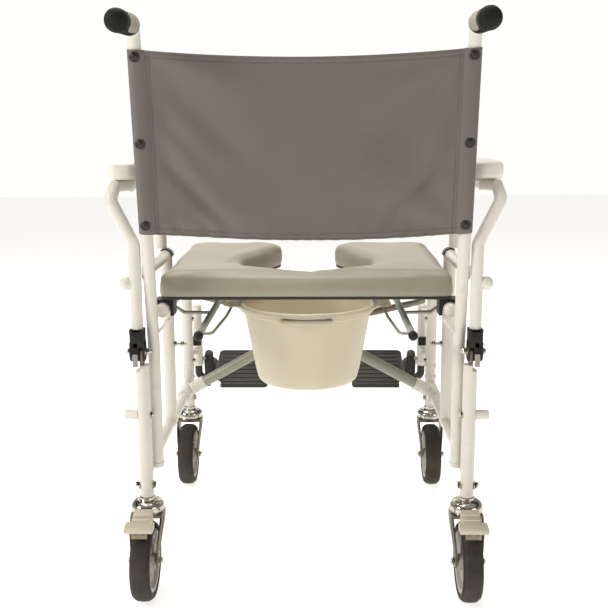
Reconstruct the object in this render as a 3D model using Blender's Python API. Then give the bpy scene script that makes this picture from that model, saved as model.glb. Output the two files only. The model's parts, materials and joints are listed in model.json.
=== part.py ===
"""Rolling shower commode chair.

Metres, +Z up. The front of the chair faces -Y and the occupant's left is +X. The floor is z = 0, and
the origin lies on the floor under the middle of the chair. Distances called "forward" are measured
from the rear legs towards the front.
"""

import math

import bmesh
import bpy
from mathutils import Matrix, Vector

# ---------------------------------------------------------------- driving dimensions
REAR_Y = 0.26644           # y of the rear legs
LEG_X = 0.259              # half the track between the side frames
MID_FORWARD = 0.253        # upright that carries the arm's front end
FRONT_FORWARD = 0.4905     # front leg
GAP = 0.0003               # clearance between touching pieces

LEG_R = 0.0111             # 7/8 inch frame tube
CANE_R = 0.0095            # 3/4 inch tube: push-handle canes and arms
ROUND = 12                 # sides of a frame tube

LEG_BOTTOM = 0.1545
LEG_TOP = 0.3735
FRONT_LEG_TOP = 0.470
LOWER_RAIL_Z = 0.203
UPPER_RAIL_Z = 0.520
SPACER_Z = 0.3545          # inward bolt on the middle upright

CANE_X = 0.2432
CANE_FORWARD = 0.0200      # the canes stand just in front of the rear legs
CANE_BEND_Z = 0.4045       # above this the back leans
BACK_LEAN = math.radians(8.1)
CANE_TOP_Z = 0.8900
CANE_TOP_FORWARD = CANE_FORWARD - (CANE_TOP_Z - CANE_BEND_Z) * math.tan(BACK_LEAN)
GRIP_START = -0.0720
GRIP_END = -0.172
GRIP_R = 0.0160
GRIP_SLOPE = 0.045         # fall of the grips towards the rear

SLING_LOW = 0.590
SLING_HIGH = 0.8585
SLING_POCKET_R = 0.0112

PIVOT_Z = 0.402            # arm flip-back pivot
ARM_X = 0.2648
LOCK_LOW_X = 0.2533
LOCK_HIGH_X = 0.2763
LOCK_HALF_DEPTH = 0.0120
LOCK_LOW = 0.3865
LOCK_HIGH = 0.4385
TONGUE_LOW_X = 0.2562
TONGUE_HIGH_X = 0.2622
TAB_DROP = 0.0020
ARM_FRONT_X = 0.2665       # the front post clears the canes when the arm swings back
PAD_X = 0.281
PAD_HALF = 0.025
SADDLE_R = 0.0134          # outside of the saddle that the front post lands on
PAD_LOW = 0.6698
PAD_HIGH = 0.698

SEAT_LOW = 0.476
SEAT_HIGH = 0.521
SEAT_REAR = 0.035
SEAT_FRONT = 0.463
SEAT_REAR_HALF = 0.240
SEAT_FRONT_HALF = 0.2455
HOLE_CENTRE = 0.200
HOLE_R = 0.112
LOBE_X = 0.107
LOBE_FORWARD = 0.405
LOBE_R = 0.058

SEAT_RAIL_X = 0.231
SEAT_RAIL_REAR = 0.0260
SEAT_RAIL_Z = 0.4605
BRACE_FORWARD = 0.4445
BRACE_CENTRE_Z = 0.3470
BRACE_R = 0.011
BRACE_OFFSET = 0.0115      # the two crossing arms lie this far either side of the brace's plane

PAN_RAIL_X = 0.165
PAN_RAIL_Z = 0.433
PAN_RAIL_R = 0.0058
PAN_WIRE_R = 0.0025
PAN_FORWARD = 0.227
PAN_RIM_R = 0.127
PAN_TOP_R = 0.1170
PAN_BOTTOM_R = 0.091
PAN_BOTTOM_Z = 0.295
PAN_WALL = 0.0025

WHEEL_R = 0.0635
TYRE_WIDTH = 0.032
TRAIL = 0.033
FORK_TOP = 0.1355
CASTER_SIDES = 28

FOOT_PIVOT_X = 0.2590
FOOT_PIVOT_FORWARD = 0.5165
HANGER_X = 0.2455
HANGER_FORWARD = 0.552
PLATE_TILT = math.radians(16)

# ---------------------------------------------------------------- materials
FINISHES = {
    "white_powder_coat": ((0.86, 0.82, 0.76), 0.32, 0.0),
    "grey_paint": ((0.42, 0.40, 0.35), 0.35, 0.2),
    "chrome": ((0.75, 0.73, 0.70), 0.15, 1.0),
    "zinc_steel": ((0.50, 0.47, 0.42), 0.30, 1.0),
    "black_plastic": ((0.03, 0.03, 0.03), 0.45, 0.0),
    "grey_plastic": ((0.40, 0.39, 0.37), 0.45, 0.0),
    "hub_plastic": ((0.55, 0.53, 0.50), 0.40, 0.0),
    "tyre_rubber": ((0.08, 0.07, 0.065), 0.60, 0.0),
    "grip_rubber": ((0.05, 0.05, 0.045), 0.60, 0.0),
    "pedal_plastic": ((0.68, 0.60, 0.48), 0.45, 0.0),
    "pad_foam": ((0.88, 0.86, 0.80), 0.50, 0.0),
    "seat_vinyl": ((0.60, 0.55, 0.45), 0.50, 0.0),
    "sling_fabric": ((0.23, 0.205, 0.19), 0.70, 0.0),
    "pan_plastic": ((0.80, 0.74, 0.60), 0.35, 0.0),
    "footplate_plastic": ((0.075, 0.07, 0.06), 0.55, 0.0),
}


def clear_scene():
    for item in list(bpy.data.objects):
        bpy.data.objects.remove(item, do_unlink=True)


def finish_material(name):
    """The Principled material of a finish, made once."""
    if name in bpy.data.materials:
        return bpy.data.materials[name]
    colour, roughness, metallic = FINISHES[name]
    material = bpy.data.materials.new(name)
    material.use_nodes = True
    shader = material.node_tree.nodes["Principled BSDF"]
    shader.inputs["Base Color"].default_value = (*colour, 1.0)
    shader.inputs["Roughness"].default_value = roughness
    shader.inputs["Metallic"].default_value = metallic
    return material


# ---------------------------------------------------------------- places
def at(x, forward, z):
    """A point from its lateral place, its distance forward of the rear legs, and its height."""
    return Vector((x, REAR_Y - forward, z))


def mirrored(points, side):
    """Points given for the occupant's left side, moved to the side wanted."""
    return [Vector((point[0] * side, point[1], point[2])) for point in points]


def side_name(side):
    return "left" if side > 0 else "right"


# ---------------------------------------------------------------- mesh builders
def rounded_path(points, radius, steps=5):
    """A polyline whose inner corners are arcs of the given radius."""
    path = [points[0]]
    for before, corner, after in zip(points, points[1:], points[2:]):
        incoming = (corner - before).normalized()
        outgoing = (after - corner).normalized()
        turn = incoming.angle(outgoing)
        if turn < 0.02:
            path.append(corner)
            continue
        setback = radius * math.tan(turn / 2)
        start = corner - incoming * setback
        inward = (outgoing - incoming).normalized()
        centre = corner + inward * (radius / math.cos(turn / 2))
        axis = incoming.cross(outgoing).normalized()
        for step in range(steps + 1):
            spin = Matrix.Rotation(turn * step / steps, 3, axis)
            path.append(centre + spin @ (start - centre))
    path.append(points[-1])
    return path


def tube(path, radius, sides=ROUND):
    """A closed round bar along a path, as a bmesh."""
    bm = bmesh.new()
    tangents = []
    for index in range(len(path)):
        low = path[max(index - 1, 0)]
        high = path[min(index + 1, len(path) - 1)]
        tangents.append((high - low).normalized())
    reference = Vector((1, 0, 0)) if abs(tangents[0].x) < 0.8 else Vector((0, 1, 0))
    across = (reference - tangents[0] * reference.dot(tangents[0])).normalized()
    rings = []
    for index, point in enumerate(path):
        if index:
            across = tangents[index - 1].rotation_difference(tangents[index]) @ across
        tangent = tangents[index]
        across = (across - tangent * across.dot(tangent)).normalized()
        other = tangent.cross(across)
        ring = []
        for step in range(sides):
            angle = 2 * math.pi * (step + 0.5) / sides
            offset = across * math.cos(angle) + other * math.sin(angle)
            ring.append(bm.verts.new(point + offset * radius))
        rings.append(ring)
    for ring, following in zip(rings, rings[1:]):
        for step in range(sides):
            after = (step + 1) % sides
            bm.faces.new((ring[step], ring[after], following[after], following[step]))
    bm.faces.new(list(reversed(rings[0])))
    bm.faces.new(rings[-1])
    return bm


def turned(profile, centre, axis, sides=20, closed=False):
    """A solid turned about an axis. A profile is (radius, height) points. It starts and ends on the
    axis, or is a closed ring."""
    bm = bmesh.new()
    axis = Vector(axis).normalized()
    reference = Vector((0, 0, 1)) if abs(axis.z) < 0.8 else Vector((1, 0, 0))
    across = (reference - axis * reference.dot(axis)).normalized()
    other = axis.cross(across)
    rings = []
    for radius, height in profile:
        place = centre + axis * height
        if radius < 1e-7:
            rings.append([bm.verts.new(place)])
            continue
        ring = []
        for step in range(sides):
            angle = 2 * math.pi * (step + 0.5) / sides
            ring.append(bm.verts.new(place + (across * math.cos(angle) + other * math.sin(angle)) * radius))
        rings.append(ring)
    pairs = list(zip(rings, rings[1:]))
    if closed:
        pairs.append((rings[-1], rings[0]))
    for ring, following in pairs:
        if len(ring) == 1 and len(following) == 1:
            continue
        for step in range(sides):
            after = (step + 1) % sides
            if len(ring) == 1:
                bm.faces.new((ring[0], following[after], following[step]))
            elif len(following) == 1:
                bm.faces.new((ring[step], ring[after], following[0]))
            else:
                bm.faces.new((ring[step], ring[after], following[after], following[step]))
    return bm


def prism(outline, depth):
    """A closed plate: an outline of points, extruded by the depth vector."""
    bm = bmesh.new()
    base = [bm.verts.new(point) for point in outline]
    top = [bm.verts.new(point + depth) for point in outline]
    bm.faces.new(base)
    bm.faces.new(list(reversed(top)))
    for index in range(len(base)):
        after = (index + 1) % len(base)
        bm.faces.new((base[index], top[index], top[after], base[after]))
    return bm


def block(low, high):
    """A box between two corners."""
    base = [Vector((low[0], low[1], low[2])), Vector((high[0], low[1], low[2])),
            Vector((high[0], high[1], low[2])), Vector((low[0], high[1], low[2]))]
    return prism(base, Vector((0, 0, high[2] - low[2])))


def arc(centre, radius, start, end, steps):
    """Points (a, b) of an arc in a plane, angles in degrees."""
    points = []
    for step in range(steps + 1):
        angle = math.radians(start + (end - start) * step / steps)
        points.append((centre[0] + radius * math.cos(angle), centre[1] + radius * math.sin(angle)))
    return points


def rounded_rectangle(low_a, high_a, low_b, high_b, radius, steps):
    """The outline of a rectangle with rounded corners, as (a, b) points."""
    points = arc((high_a - radius, low_b + radius), radius, -90, 0, steps)
    points += arc((high_a - radius, high_b - radius), radius, 0, 90, steps)
    points += arc((low_a + radius, high_b - radius), radius, 90, 180, steps)
    points += arc((low_a + radius, low_b + radius), radius, 180, 270, steps)
    return points


def mesh_of(bm, name):
    """The mesh of a bmesh, with its faces turned outwards."""
    bmesh.ops.remove_doubles(bm, verts=bm.verts, dist=1e-6)
    bmesh.ops.recalc_face_normals(bm, faces=bm.faces)
    mesh = bpy.data.meshes.new(name)
    bm.to_mesh(mesh)
    bm.free()
    return mesh


def boolean(base, tools, operation):
    """The base mesh joined with, or cut by, each tool in turn."""
    for tool in tools:
        first = bpy.data.objects.new("boolean_base", base)
        second = bpy.data.objects.new("boolean_tool", mesh_of(tool, "boolean_tool"))
        bpy.context.scene.collection.objects.link(first)
        bpy.context.scene.collection.objects.link(second)
        modifier = first.modifiers.new("join", "BOOLEAN")
        modifier.operation = operation
        modifier.solver = "EXACT"
        modifier.object = second
        graph = bpy.context.evaluated_depsgraph_get()
        graph.update()
        result = bpy.data.meshes.new_from_object(first.evaluated_get(graph))
        bpy.data.objects.remove(first, do_unlink=True)
        bpy.data.objects.remove(second, do_unlink=True)
        base = result
    return base


def add(name, shape, finish, origin=(0, 0, 0), join=(), cut=()):
    """One named sub-part from a bmesh, with its origin on its joint or at its natural place."""
    mesh = mesh_of(shape, name)
    mesh = boolean(mesh, join, "UNION")
    mesh = boolean(mesh, cut, "DIFFERENCE")
    mesh.name = name
    origin = Vector(origin)
    mesh.transform(Matrix.Translation(-origin))
    mesh.shade_smooth()
    mesh.set_sharp_from_angle(angle=math.radians(40))
    mesh.materials.clear()
    mesh.materials.append(finish_material(finish))
    item = bpy.data.objects.new(name, mesh)
    item.location = origin
    bpy.context.scene.collection.objects.link(item)
    return item


# ---------------------------------------------------------------- side frames
def grip_point(forward, side):
    """A point on a push grip's axis."""
    return at(CANE_X * side, forward, CANE_TOP_Z + (forward - CANE_TOP_FORWARD) * GRIP_SLOPE)


def cane_point(z, side):
    """The centre of a push-handle cane at a height above its bend."""
    return at(CANE_X * side, CANE_FORWARD - (z - CANE_BEND_Z) * math.tan(BACK_LEAN), z)


def tongue(side):
    """The flat lug on top of the rear leg that the arm's pivot bolt passes through."""
    outline = [(-0.0065, LEG_TOP - 0.008), (0.0065, LEG_TOP - 0.008)]
    outline += arc((0, PIVOT_Z), 0.0065, 0, 180, 8)
    points = [at(TONGUE_LOW_X * side, forward, z) for forward, z in outline]
    return prism(points, Vector(((TONGUE_HIGH_X - TONGUE_LOW_X) * side, 0, 0)))


def gusset(side):
    """The slanting strap between a cane and the underside of the seat rail."""
    outline = [(0.2440, 0.4160), (0.2440, 0.4215), (0.2215, 0.4488), (0.2165, 0.4488), (0.2165, 0.4455)]
    points = [at(x * side, CANE_FORWARD - 0.009, z) for x, z in outline]
    return prism(points, Vector((0, -0.018, 0)))


def rail_saddle(side, forward):
    """The bracket that holds the seat rail to an upright, just under the rail."""
    low = at(0.2200 * side, forward - 0.008, SEAT_RAIL_Z - LEG_R - 0.0045)
    high = at(0.2570 * side, forward + 0.008, SEAT_RAIL_Z - LEG_R - GAP)
    return block(low, high)


def footrest_lug(side, z):
    """The lug on the front leg that a footrest pin drops into."""
    low = at(LEG_X * side - 0.008, FRONT_FORWARD, z - 0.005)
    high = at(LEG_X * side + 0.008, FOOT_PIVOT_FORWARD + 0.008, z + 0.005)
    return block(low, high)


def stem_bore(side, forward):
    profile = [(0, 0), (0.0059, 0), (0.0059, 0.040), (0, 0.040)]
    return turned(profile, at(LEG_X * side, forward, LEG_BOTTOM - 0.001), (0, 0, 1), 10)


def build_side_frame(side):
    grip_bend = cane_point(CANE_TOP_Z, side)
    cane = [at(CANE_X * side, CANE_FORWARD, LOWER_RAIL_Z), cane_point(CANE_BEND_Z, side), grip_bend,
            grip_point(GRIP_END + 0.010, side)]
    cane_path = rounded_path(cane, 0.018, 5)
    rear_leg = [at(LEG_X * side, 0, LEG_BOTTOM), at(LEG_X * side, 0, LEG_TOP)]
    mid_upright = [at(LEG_X * side, MID_FORWARD, LOWER_RAIL_Z), at(LEG_X * side, MID_FORWARD, UPPER_RAIL_Z)]
    front_leg = [at(LEG_X * side, FRONT_FORWARD, LEG_BOTTOM), at(LEG_X * side, FRONT_FORWARD, FRONT_LEG_TOP)]
    lower_rail = [at(LEG_X * side, 0, LOWER_RAIL_Z), at(LEG_X * side, FRONT_FORWARD, LOWER_RAIL_Z)]
    upper_rail = [cane_point(UPPER_RAIL_Z, side), at(LEG_X * side, 0.060, UPPER_RAIL_Z),
                  at(LEG_X * side, MID_FORWARD + 0.016, UPPER_RAIL_Z)]
    spacer = [(0, 0), (0.0060, 0), (0.0060, 0.0160), (0.0030, 0.0165), (0.0030, 0.0335), (0, 0.0335)]
    peg = [at(LEG_X * side, 0, 0.298), at(0.290 * side, 0, 0.298)]
    parts = [tube(cane_path, CANE_R), tube(mid_upright, LEG_R), tube(front_leg, LEG_R),
             tube(lower_rail, CANE_R), tube(upper_rail, CANE_R), tube(peg, 0.0078),
             turned(spacer, at(LEG_X * side, MID_FORWARD, SPACER_Z), (-side, 0, 0), 10),
             tongue(side), gusset(side)]
    parts += [rail_saddle(side, MID_FORWARD), rail_saddle(side, FRONT_FORWARD)]
    parts += [footrest_lug(side, 0.352), footrest_lug(side, 0.262)]
    pin_bores = []
    for z in (0.352, 0.262):
        profile = [(0, -0.006), (0.0042, -0.006), (0.0042, 0.006), (0, 0.006)]
        pin_bores.append(turned(profile, at(FOOT_PIVOT_X * side, FOOT_PIVOT_FORWARD, z), (0, 0, 1), 10))
    cuts = [stem_bore(side, 0), stem_bore(side, FRONT_FORWARD)] + pin_bores
    add(f"{side_name(side)}_side_frame", tube(rear_leg, LEG_R), "white_powder_coat",
        at(LEG_X * side, 0, 0), join=parts, cut=cuts)


def build_grip(side):
    """A push grip: a rubber sleeve with a domed closed end, over the end of the cane."""
    start = grip_point(GRIP_START, side)
    end = grip_point(GRIP_END, side)
    length = (end - start).length
    bore = CANE_R + GAP
    profile = [(bore, 0), (0.0145, 0), (GRIP_R, 0.003), (GRIP_R, length - 0.012),
               (0.0150, length - 0.005), (0.0100, length - 0.0012), (0, length),
               (0, length - 0.006), (bore, length - 0.006)]
    axis = (end - start).normalized()
    add(f"{side_name(side)}_push_grip", turned(profile, start, axis, 16, closed=True), "grip_rubber", start)


def build_back_sling():
    """The back upholstery: one panel with a sewn pocket around each cane."""
    up = (cane_point(SLING_HIGH, 1) - cane_point(SLING_LOW, 1))
    normal = Vector((0, math.cos(BACK_LEAN), -math.sin(BACK_LEAN)))
    centre_low = (cane_point(SLING_LOW, 1) + cane_point(SLING_LOW, -1)) / 2
    half = 0.0016
    reach = 0.024
    pocket = arc((CANE_X, 0), SLING_POCKET_R, 125, -125, 12)
    left_end = [(CANE_X - reach, half)] + pocket + [(CANE_X - reach, -half)]
    outline = left_end + [(-x, height) for x, height in reversed(left_end)]
    points = [centre_low + Vector((x, 0, 0)) + normal * height for x, height in outline]
    cuts = []
    for side in (1, -1):
        low = cane_point(SLING_LOW - 0.01, side)
        high = cane_point(SLING_HIGH + 0.01, side)
        cuts.append(tube([low, high], CANE_R + GAP, ROUND))
    depth = Vector((0, up.y, up.z))
    add("back_sling", prism(points, depth), "sling_fabric", centre_low, cut=cuts)


# ---------------------------------------------------------------- arms
def build_arm(side):
    name = side_name(side)
    pivot = at(ARM_X * side, 0, PIVOT_Z)
    bar_z = PAD_LOW - 3 * GAP - CANE_R
    corners = [at(ARM_X, 0, PIVOT_Z + 0.0145), at(ARM_X, 0, 0.572), at(0.2985, 0.001, 0.640),
               at(0.2925, 0.012, bar_z + 0.001), at(PAD_X, 0.050, bar_z), at(PAD_X, 0.238, bar_z),
               at(ARM_FRONT_X, MID_FORWARD, 0.585),
               at(ARM_FRONT_X, MID_FORWARD, UPPER_RAIL_Z + SADDLE_R + GAP)]
    path = rounded_path(mirrored(corners[:4], side), 0.018, 3)
    path += rounded_path(mirrored(corners[3:], side), 0.020, 3)[1:]
    ball = [(0, 0), (0.0085, 0), (0.0107, 0.005), (0.0107, 0.012), (0.0085, 0.0180), (0.0045, 0.0208),
            (0, 0.0215)]
    stud = turned(ball, at((ARM_X + 0.004) * side, 0, 0.510), (side, 0, 0), 14)
    add(f"{name}_arm_tube", tube(path, CANE_R), "white_powder_coat", pivot, join=[stud])

    outline = rounded_rectangle(PAD_X - PAD_HALF, PAD_X + PAD_HALF, 0, 0.274, 0.012, 4)
    points = [at(x * side, forward, PAD_LOW) for x, forward in outline]
    pad = add(f"{name}_arm_pad", prism(points, Vector((0, 0, PAD_HIGH - PAD_LOW))), "pad_foam", pivot)
    bevel = pad.modifiers.new("soft_edge", "BEVEL")
    bevel.width = 0.006
    bevel.segments = 2
    bevel.limit_method = "ANGLE"
    bevel.angle_limit = math.radians(60)

    build_arm_lock(side, pivot)
    build_arm_saddle(side)


def build_arm_lock(side, pivot):
    """The hinge body: a socket for the arm's rear post, and two cheeks beside the leg's tongue."""
    corner = 0.005
    outline = rounded_rectangle(LOCK_LOW_X, LOCK_HIGH_X, -LOCK_HALF_DEPTH, LOCK_HALF_DEPTH, corner, 3)
    points = [at(x * side, forward, LOCK_LOW) for x, forward in outline]
    body = prism(points, Vector((0, 0, LOCK_HIGH - LOCK_LOW)))
    socket = turned([(0, 0), (CANE_R + GAP, 0), (CANE_R + GAP, 0.04), (0, 0.04)],
                    at(ARM_X * side, 0, PIVOT_Z + 0.0140), (0, 0, 1), ROUND)
    slot = block(at((TONGUE_LOW_X - GAP) * side, -0.02, PIVOT_Z - 0.02),
                 at((TONGUE_HIGH_X + GAP) * side, 0.02, PIVOT_Z + 0.0080))
    outer_nut = turned([(0, -0.001), (0.0066, -0.001), (0.0066, 0.0040), (0.0035, 0.0065), (0, 0.0070)],
                       at(LOCK_HIGH_X * side, 0, PIVOT_Z), (side, 0, 0), 12)
    inner_nut = turned([(0, -0.001), (0.0066, -0.001), (0.0066, 0.0055), (0.0045, 0.0100), (0, 0.0115)],
                       at(LOCK_LOW_X * side, 0, PIVOT_Z), (-side, 0, 0), 12)
    add(f"{side_name(side)}_arm_lock", body, "black_plastic", pivot,
        join=[outer_nut, inner_nut], cut=[socket, slot])

    tab_x = (TONGUE_HIGH_X + 0.0050) * side
    low = at(tab_x - 0.0041, -LOCK_HALF_DEPTH - 0.0035, PIVOT_Z - 0.0225)
    high = at(tab_x + 0.0041, -LOCK_HALF_DEPTH - GAP, PIVOT_Z - TAB_DROP)
    tab = add(f"{side_name(side)}_arm_release_tab", block(low, high), "grey_plastic",
              at(tab_x, -LOCK_HALF_DEPTH - GAP, PIVOT_Z - TAB_DROP))
    bevel = tab.modifiers.new("soft_edge", "BEVEL")
    bevel.width = 0.0008
    bevel.segments = 1


def build_arm_saddle(side):
    """The clip on the upper rail that the arm's front post lands on."""
    outline = arc((0, 0), CANE_R + 2 * GAP, 180, 50, 7) + arc((0, 0), SADDLE_R, 50, 180, 7)
    points = [at((LEG_X + x) * side, MID_FORWARD - 0.010, UPPER_RAIL_Z + z) for x, z in outline]
    clip = prism(points, Vector((0, -0.020, 0)))
    add(f"{side_name(side)}_arm_saddle", clip, "black_plastic", at(LEG_X * side, MID_FORWARD, UPPER_RAIL_Z))


# ---------------------------------------------------------------- seat
def seat_outline():
    """Half of the seat's outline, from the middle of its rear edge, as (x, forward) points."""
    outer = arc((SEAT_REAR_HALF - 0.012, SEAT_REAR + 0.012), 0.012, -90, 0, 4)
    outer += arc((SEAT_FRONT_HALF - 0.036, SEAT_FRONT - 0.036), 0.036, 0, 90, 5)
    span = math.hypot(LOBE_X, LOBE_FORWARD - HOLE_CENTRE)
    heading = math.degrees(math.atan2(LOBE_FORWARD - HOLE_CENTRE, LOBE_X))
    swing = math.degrees(math.acos((HOLE_R + LOBE_R) / span))
    tangent = heading - swing
    inner = arc((LOBE_X, LOBE_FORWARD), LOBE_R, 90, 180 + tangent, 8)
    inner += arc((0, HOLE_CENTRE), HOLE_R, tangent, -90, 9)
    return outer + inner


def build_seat():
    half = seat_outline()
    other = [(-x, forward) for x, forward in reversed(half[:-1])]
    points = [at(x, forward, SEAT_LOW) for x, forward in half + other]
    seat = add("seat", prism(points, Vector((0, 0, SEAT_HIGH - SEAT_LOW))), "seat_vinyl",
               at(0, (SEAT_REAR + SEAT_FRONT) / 2, SEAT_LOW))
    bevel = seat.modifiers.new("rolled_edge", "BEVEL")
    bevel.width = 0.010
    bevel.segments = 2
    bevel.limit_method = "ANGLE"
    bevel.angle_limit = math.radians(60)
    for side in (1, -1):
        for place, forward in (("rear", 0.062), ("front", 0.385)):
            build_seat_clip(side, place, forward)


def build_seat_clip(side, place, forward):
    """A moulded clip under the seat that straddles the top of the seat rail."""
    inner = LEG_R + GAP + 0.0003
    top = SEAT_LOW - GAP
    outline = [(0.0132, -0.0015), (0.0132, top - SEAT_RAIL_Z), (-0.0170, top - SEAT_RAIL_Z),
               (-0.0170, -0.0110), (-inner, -0.0110)]
    outline += arc((0, 0), inner, 180, 0, 8)
    points = [at((SEAT_RAIL_X + x) * side, forward - 0.017, SEAT_RAIL_Z + z) for x, z in outline]
    add(f"seat_clip_{place}_{side_name(side)}", prism(points, Vector((0, -0.034, 0))),
        "black_plastic", at(SEAT_RAIL_X * side, forward, SEAT_RAIL_Z))


def build_seat_rail(side):
    """A seat rail with a rounded plug in its rear end."""
    start = at(SEAT_RAIL_X * side, SEAT_RAIL_REAR, SEAT_RAIL_Z)
    length = FRONT_FORWARD + 0.010 - SEAT_RAIL_REAR
    profile = [(0, 0), (0.0060, 0.0008), (0.0098, 0.0035), (LEG_R, 0.0075), (LEG_R, length - 0.0045),
               (0.0085, length - 0.001), (0, length)]
    add(f"{side_name(side)}_seat_rail", turned(profile, start, (0, -1, 0), ROUND),
        "white_powder_coat", start)


# ---------------------------------------------------------------- cross brace
def brace_line(side, layer):
    """The two ends of a crossing arm: the lower one on this side, the upper one on the other."""
    offset = BRACE_OFFSET * layer
    sleeve = at(LEG_X * side, BRACE_FORWARD, LOWER_RAIL_Z)
    low = at((LEG_X - 0.010) * side, BRACE_FORWARD + offset * 0.5, LOWER_RAIL_Z + 0.0065)
    middle = at(0, BRACE_FORWARD + offset, BRACE_CENTRE_Z)
    high = at(-(SEAT_RAIL_X - 0.0150) * side, BRACE_FORWARD + offset, SEAT_RAIL_Z + 0.0010)
    return sleeve, low, middle, high


def build_brace(side, layer, name):
    sleeve_centre, low, middle, high = brace_line(side, layer)
    sleeve = turned([(CANE_R + GAP, -0.033), (0.0135, -0.033), (0.0135, 0.033), (CANE_R + GAP, 0.033)],
                    sleeve_centre, (0, -1, 0), 16, closed=True)
    clear_rail = turned([(0, -0.05), (CANE_R + GAP, -0.05), (CANE_R + GAP, 0.05), (0, 0.05)],
                        sleeve_centre, (0, -1, 0), 16)
    clear_seat_rail = turned([(0, -0.05), (LEG_R + GAP, -0.05), (LEG_R + GAP, 0.05), (0, 0.05)],
                             at(-SEAT_RAIL_X * side, BRACE_FORWARD, SEAT_RAIL_Z), (0, -1, 0), ROUND)
    bolt_hole = turned([(0, -0.03), (0.0043, -0.03), (0.0043, 0.03), (0, 0.03)], middle, (0, 1, 0), 10)
    add(name, sleeve, "grey_paint", middle, join=[tube([low, middle, high], BRACE_R)],
        cut=[clear_rail, clear_seat_rail, bolt_hole])


def build_brace_bolt():
    centre = at(0, BRACE_FORWARD, BRACE_CENTRE_Z)
    reach = BRACE_OFFSET + BRACE_R + GAP + 0.0002
    profile = [(0, -reach - 0.006), (0.0075, -reach - 0.006), (0.0075, -reach), (0.0040, -reach),
               (0.0040, reach), (0.0075, reach), (0.0075, reach + 0.006), (0, reach + 0.006)]
    add("brace_bolt", turned(profile, centre, (0, 1, 0), 10), "zinc_steel", centre)


def build_stay_link(side, layer):
    """A flat-ended stay from the brace's middle out to the seat rail bracket of a side."""
    depth = BRACE_FORWARD + layer * 0.030
    inner = at(0.012 * side, depth, BRACE_CENTRE_Z + 0.008)
    outer = at(0.236 * side, depth, 0.405)
    add(f"{side_name(side)}_stay_link", tube([inner, outer], 0.0070, 10), "grey_paint", inner)


# ---------------------------------------------------------------- commode pan
def build_pan():
    """The pan: a tapered bucket, open at the top, with a flat rim and an ear on each side."""
    centre = at(0, PAN_FORWARD, 0)
    rim_low = PAN_RAIL_Z + PAN_WIRE_R + GAP
    rim_high = rim_low + 0.0035
    wall = PAN_WALL
    profile = [(0, PAN_BOTTOM_Z), (PAN_BOTTOM_R - 0.018, PAN_BOTTOM_Z),
               (PAN_BOTTOM_R - 0.005, PAN_BOTTOM_Z + 0.004),
               (PAN_BOTTOM_R + 0.002, PAN_BOTTOM_Z + 0.013), (PAN_TOP_R, rim_low), (PAN_RIM_R, rim_low),
               (PAN_RIM_R, rim_high), (PAN_TOP_R - wall, rim_high),
               (PAN_BOTTOM_R + 0.002 - wall, PAN_BOTTOM_Z + 0.014),
               (PAN_BOTTOM_R - 0.005 - wall, PAN_BOTTOM_Z + 0.004 + wall),
               (PAN_BOTTOM_R - 0.018 - wall, PAN_BOTTOM_Z + wall), (0, PAN_BOTTOM_Z + wall)]
    ears = []
    for side in (1, -1):
        outline = [(0.118, -0.046), (0.142, -0.038), (0.150, -0.025), (0.150, 0.025), (0.142, 0.038),
                   (0.118, 0.046)]
        points = [at(x * side, PAN_FORWARD + y, rim_low) for x, y in outline]
        ears.append(prism(points, Vector((0, 0, rim_high - rim_low))))
    lip = [(0.1060, -0.044), (0.1060, 0.044), (0.1210, 0.044), (0.1210, -0.044)]
    lip_points = [at(y, PAN_FORWARD - x, rim_low - 0.0125) for x, y in lip]
    ears.append(prism(lip_points, Vector((0, 0, 0.0090))))
    inside = [(0, PAN_BOTTOM_Z + wall + 0.001), (PAN_BOTTOM_R - 0.020 - wall, PAN_BOTTOM_Z + wall + 0.001),
              (PAN_BOTTOM_R - wall - 0.0015, PAN_BOTTOM_Z + 0.016), (PAN_TOP_R - wall - 0.0006, rim_high),
              (PAN_TOP_R - wall - 0.0006, rim_high + 0.01), (0, rim_high + 0.01)]
    add("pan", turned(profile, centre, (0, 0, 1), 32), "pan_plastic",
        at(0, PAN_FORWARD, rim_low), join=ears, cut=[turned(inside, centre, (0, 0, 1), 32)])


def build_pan_rail(side):
    """A pan slide: a tube with an inner guide wire, hung from the seat rail on two bent rods."""
    rear = -0.030
    front = 0.402
    rail = tube([at(PAN_RAIL_X * side, rear, PAN_RAIL_Z), at(PAN_RAIL_X * side, front, PAN_RAIL_Z)],
                PAN_RAIL_R, 10)
    wire_corners = [at(PAN_RAIL_X * side, -0.012, PAN_RAIL_Z), at(0.146 * side, -0.010, PAN_RAIL_Z),
                    at(0.137 * side, 0.120, PAN_RAIL_Z), at(0.134 * side, 0.385, PAN_RAIL_Z),
                    at(PAN_RAIL_X * side, 0.393, PAN_RAIL_Z)]
    parts = [tube(rounded_path(wire_corners, 0.009, 2), PAN_WIRE_R, 6)]
    for forward in (0.153, 0.360):
        top = SEAT_RAIL_Z - LEG_R - 0.0024
        corners = [at(0.2300 * side, forward, top), at(0.2140 * side, forward, PAN_RAIL_Z + 0.001),
                   at(PAN_RAIL_X * side, forward, PAN_RAIL_Z)]
        parts.append(tube(rounded_path(corners, 0.010, 2), 0.0030, 6))
    cap = [(0, 0), (0.0050, 0.001), (0.0074, 0.005), (0.0074, 0.014), (0.0058, 0.016), (0, 0.016)]
    parts.append(turned(cap, at(PAN_RAIL_X * side, rear - 0.007, PAN_RAIL_Z), (0, -1, 0), 10))
    add(f"{side_name(side)}_pan_rail", rail, "grey_paint", at(PAN_RAIL_X * side, 0, PAN_RAIL_Z), join=parts)


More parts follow.
